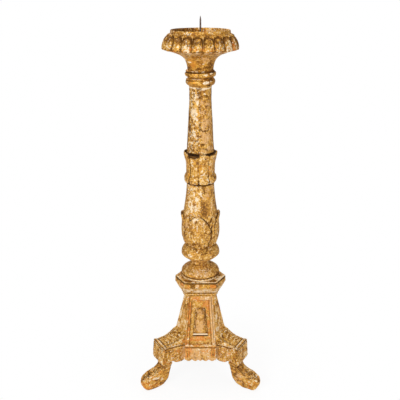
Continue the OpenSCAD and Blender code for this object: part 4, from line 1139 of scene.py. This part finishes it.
def carved_block(p, n):
    """Slanting gouge marks on the end, and worn gilding on the flanks."""
    side, z = p.T[1:]
    end = step(0.5, 0.9, n[:, 0])
    flank = 1 - end
    slant = np.sin((z * 0.45 + np.abs(side) * 1.1) * 0.8 + 2.2 * noise(p, 9, 221))
    streaks = noise(p * [1, 1, 0.35], 5, 223, 2)
    top = hump(z - 117, 1.2)
    # a painted shadow under the lip along the top
    brown = 0.3 * end * step(0.2, -0.8, slant) + 2.4 * top - 2.4 * streaks
    cream = end * 0.4 * step(0, 0.9, slant) + 1.6 * step(118, 119, z) + 2.2 * streaks
    orange = flank * (0.3 + 2.4 * noise(p * [1, 1, 0.5], 9, 225, 2))
    return (end + 0.4 * flank) * 0.25 * slant - 0.7 * top, {"cream": cream, "brown": brown, "orange": orange}


thrice("worn", "block", CORNERS, MAT_BASE, 1.0, 2, carved_block, 240)


def carved_foot(p, n):
    """A leaf over the instep."""
    out, side, z = p.T
    top = step(0.0, 0.5, n[:, 2] + 0.3 * n[:, 0]) * step(126, 134, out) * step(26, 34, z + (out - 140) * 0.3)
    q = np.column_stack([out * 1.1 + z * 0.3, side * 1.3, z * 0.6])
    strokes = hump(noise(q, 8.5, 271, 2), 0.13)
    ankle = within(z, 52, 58, 60, 66)
    streaks = noise(p * [0.6, 1, 1], 6, 275, 2)
    h = top * (0.4 - strokes) - 0.5 * hump(z - 58, 2)
    brown = top * 2.0 * strokes + 1.4 * step(7, 1, z) + 0.9 * ankle - 2.4 * streaks
    cream = top * 0.7 * (1 - strokes) + 1.2 * streaks
    orange = 0.4 + 2.6 * noise(p, 9, 273, 2)
    return h, {"cream": cream, "brown": brown, "orange": orange}


LEFT_TOE = dict(brown=[(-58, 160, 43, 7, 5, 2.6), (-61, 152, 45, 6, 4, 2.2), (-60, 167, 39, 4, 5, 2),
                       (-52, 141, 28, 10, 2.4, 1.6)],
                orange=[(-57, 168, 22, 12, 9, 4.5), (-53, 127, 48, 5, 5, 3.4), (-55, 150, 14, 16, 5, 2.4)],
                cream=[(-54, 145, 35, 8, 3, 5), (-53.6, 135, 33, 7, 2.8, 5), (-53, 123, 26, 5, 3.4, 4),
                       (-57, 154, 38, 4, 4, 2.4)])
RIGHT_TOE = dict(brown=[(53, 119, 60, 7, 2.2, 4), (50, 112, 61, 5, 2, 3), (54, 150, 36, 7, 2.4, 2.4),
                        (58, 139, 49, 4, 4, 1.6)],
                 cream=[(60, 165, 40, 4, 5, 2.6), (57, 170, 34, 4, 4, 2.2), (54, 128, 40, 6, 5, 1.4)],
                 tan=[(54, 122, 30, 12, 12, 1.4)])
thrice("carved", "foot", CORNERS, MAT_FOOT, 1.1, 14, carved_foot, 270, 0.7,
       spots={"front_left_foot": LEFT_TOE, "front_right_foot": RIGHT_TOE})

for node in ("pedestal_core", "base_plinth", "foot_dowels"):
    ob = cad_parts[node]
    ob.data.materials.clear()
    ob.data.materials.append(MAT_WOOD)

# ---------- floor, light and camera ----------

WHITE = (1, 1, 1, 1)
FLOOR_SIZE, FLOOR_GREY, WORLD_LIGHT = 12, 0.95, 0.42
# the floor looks white to the camera, and a little less so near the feet, where it keeps their shadow
NEAR_FEET, FAR_OFF, NEAR_SHARE = 0.17, 0.42, 0.9

g = Nodes(bpy.data.materials.new("pale_floor"))
shown = g.add("BsdfDiffuse", {"Color": (FLOOR_GREY, FLOOR_GREY, FLOOR_GREY, 1)})
glow = g.add("Emission", {"Color": WHITE, "Strength": 1.0})
away = g.add("VectorMath", {0: g.add("TexCoord", out=3)}, out=1, operation="LENGTH")
reach = {"Value": away, "From Min": NEAR_FEET, "From Max": FAR_OFF, "To Min": NEAR_SHARE, "To Max": 1.0}
plain = g.add("MapRange", reach)
blend = g.add("MixShader", {0: g.times(g.add("LightPath"), plain), 1: shown, 2: glow})
g.add("OutputMaterial", {0: blend})

half = FLOOR_SIZE / 2
me = bpy.data.meshes.new("floor")
me.from_pydata([(-half, -half, 0), (half, -half, 0), (half, half, 0), (-half, half, 0)], [], [(0, 1, 2, 3)])
ob = added("floor", me)
me.materials.append(g.owner)

world = bpy.data.worlds.new("studio")
bpy.context.scene.world = world
g = Nodes(world)
soft = g.add("Background", {0: WHITE, 1: WORLD_LIGHT})
backdrop = g.add("Background", {0: WHITE, 1: 1.0})
g.add("OutputWorld", {0: g.add("MixShader", {0: g.add("LightPath"), 1: soft, 2: backdrop})})


def lamp(name, place, aim, size, watts):
    data = bpy.data.lights.new(name, "AREA")
    data.size, data.energy = size, watts
    ob = added(name, data)
    ob.location = place
    ob.rotation_euler = (Vector(aim) - Vector(place)).to_track_quat("-Z", "Y").to_euler()


lamp("key", (-1.2, -1.8, 1.3), (0, 0, 0.4), 1.0, 32)
lamp("fill", (1.6, -1.4, 0.8), (0, 0, 0.35), 1.2, 13)
lamp("top", (0.2, 0.2, 2.6), (0, 0, 0), 1.2, 14)
lamp("back_light", (-0.3, 1.8, 1.4), (0, 0, 0.5), 1.2, 10)

LENS, SENSOR, SHIFT, LOOKS_DOWN = 54, 36, -0.001, 19.85
camera = added("camera", bpy.data.cameras.new("camera"))
camera.data.lens, camera.data.sensor_width, camera.data.shift_x = LENS, SENSOR, SHIFT
camera.location = (0, -1.365, 0.980)
camera.rotation_euler = (math.radians(90 - LOOKS_DOWN), 0, 0)
bpy.context.scene.camera = camera
bpy.context.scene.view_settings.view_transform = "Standard"
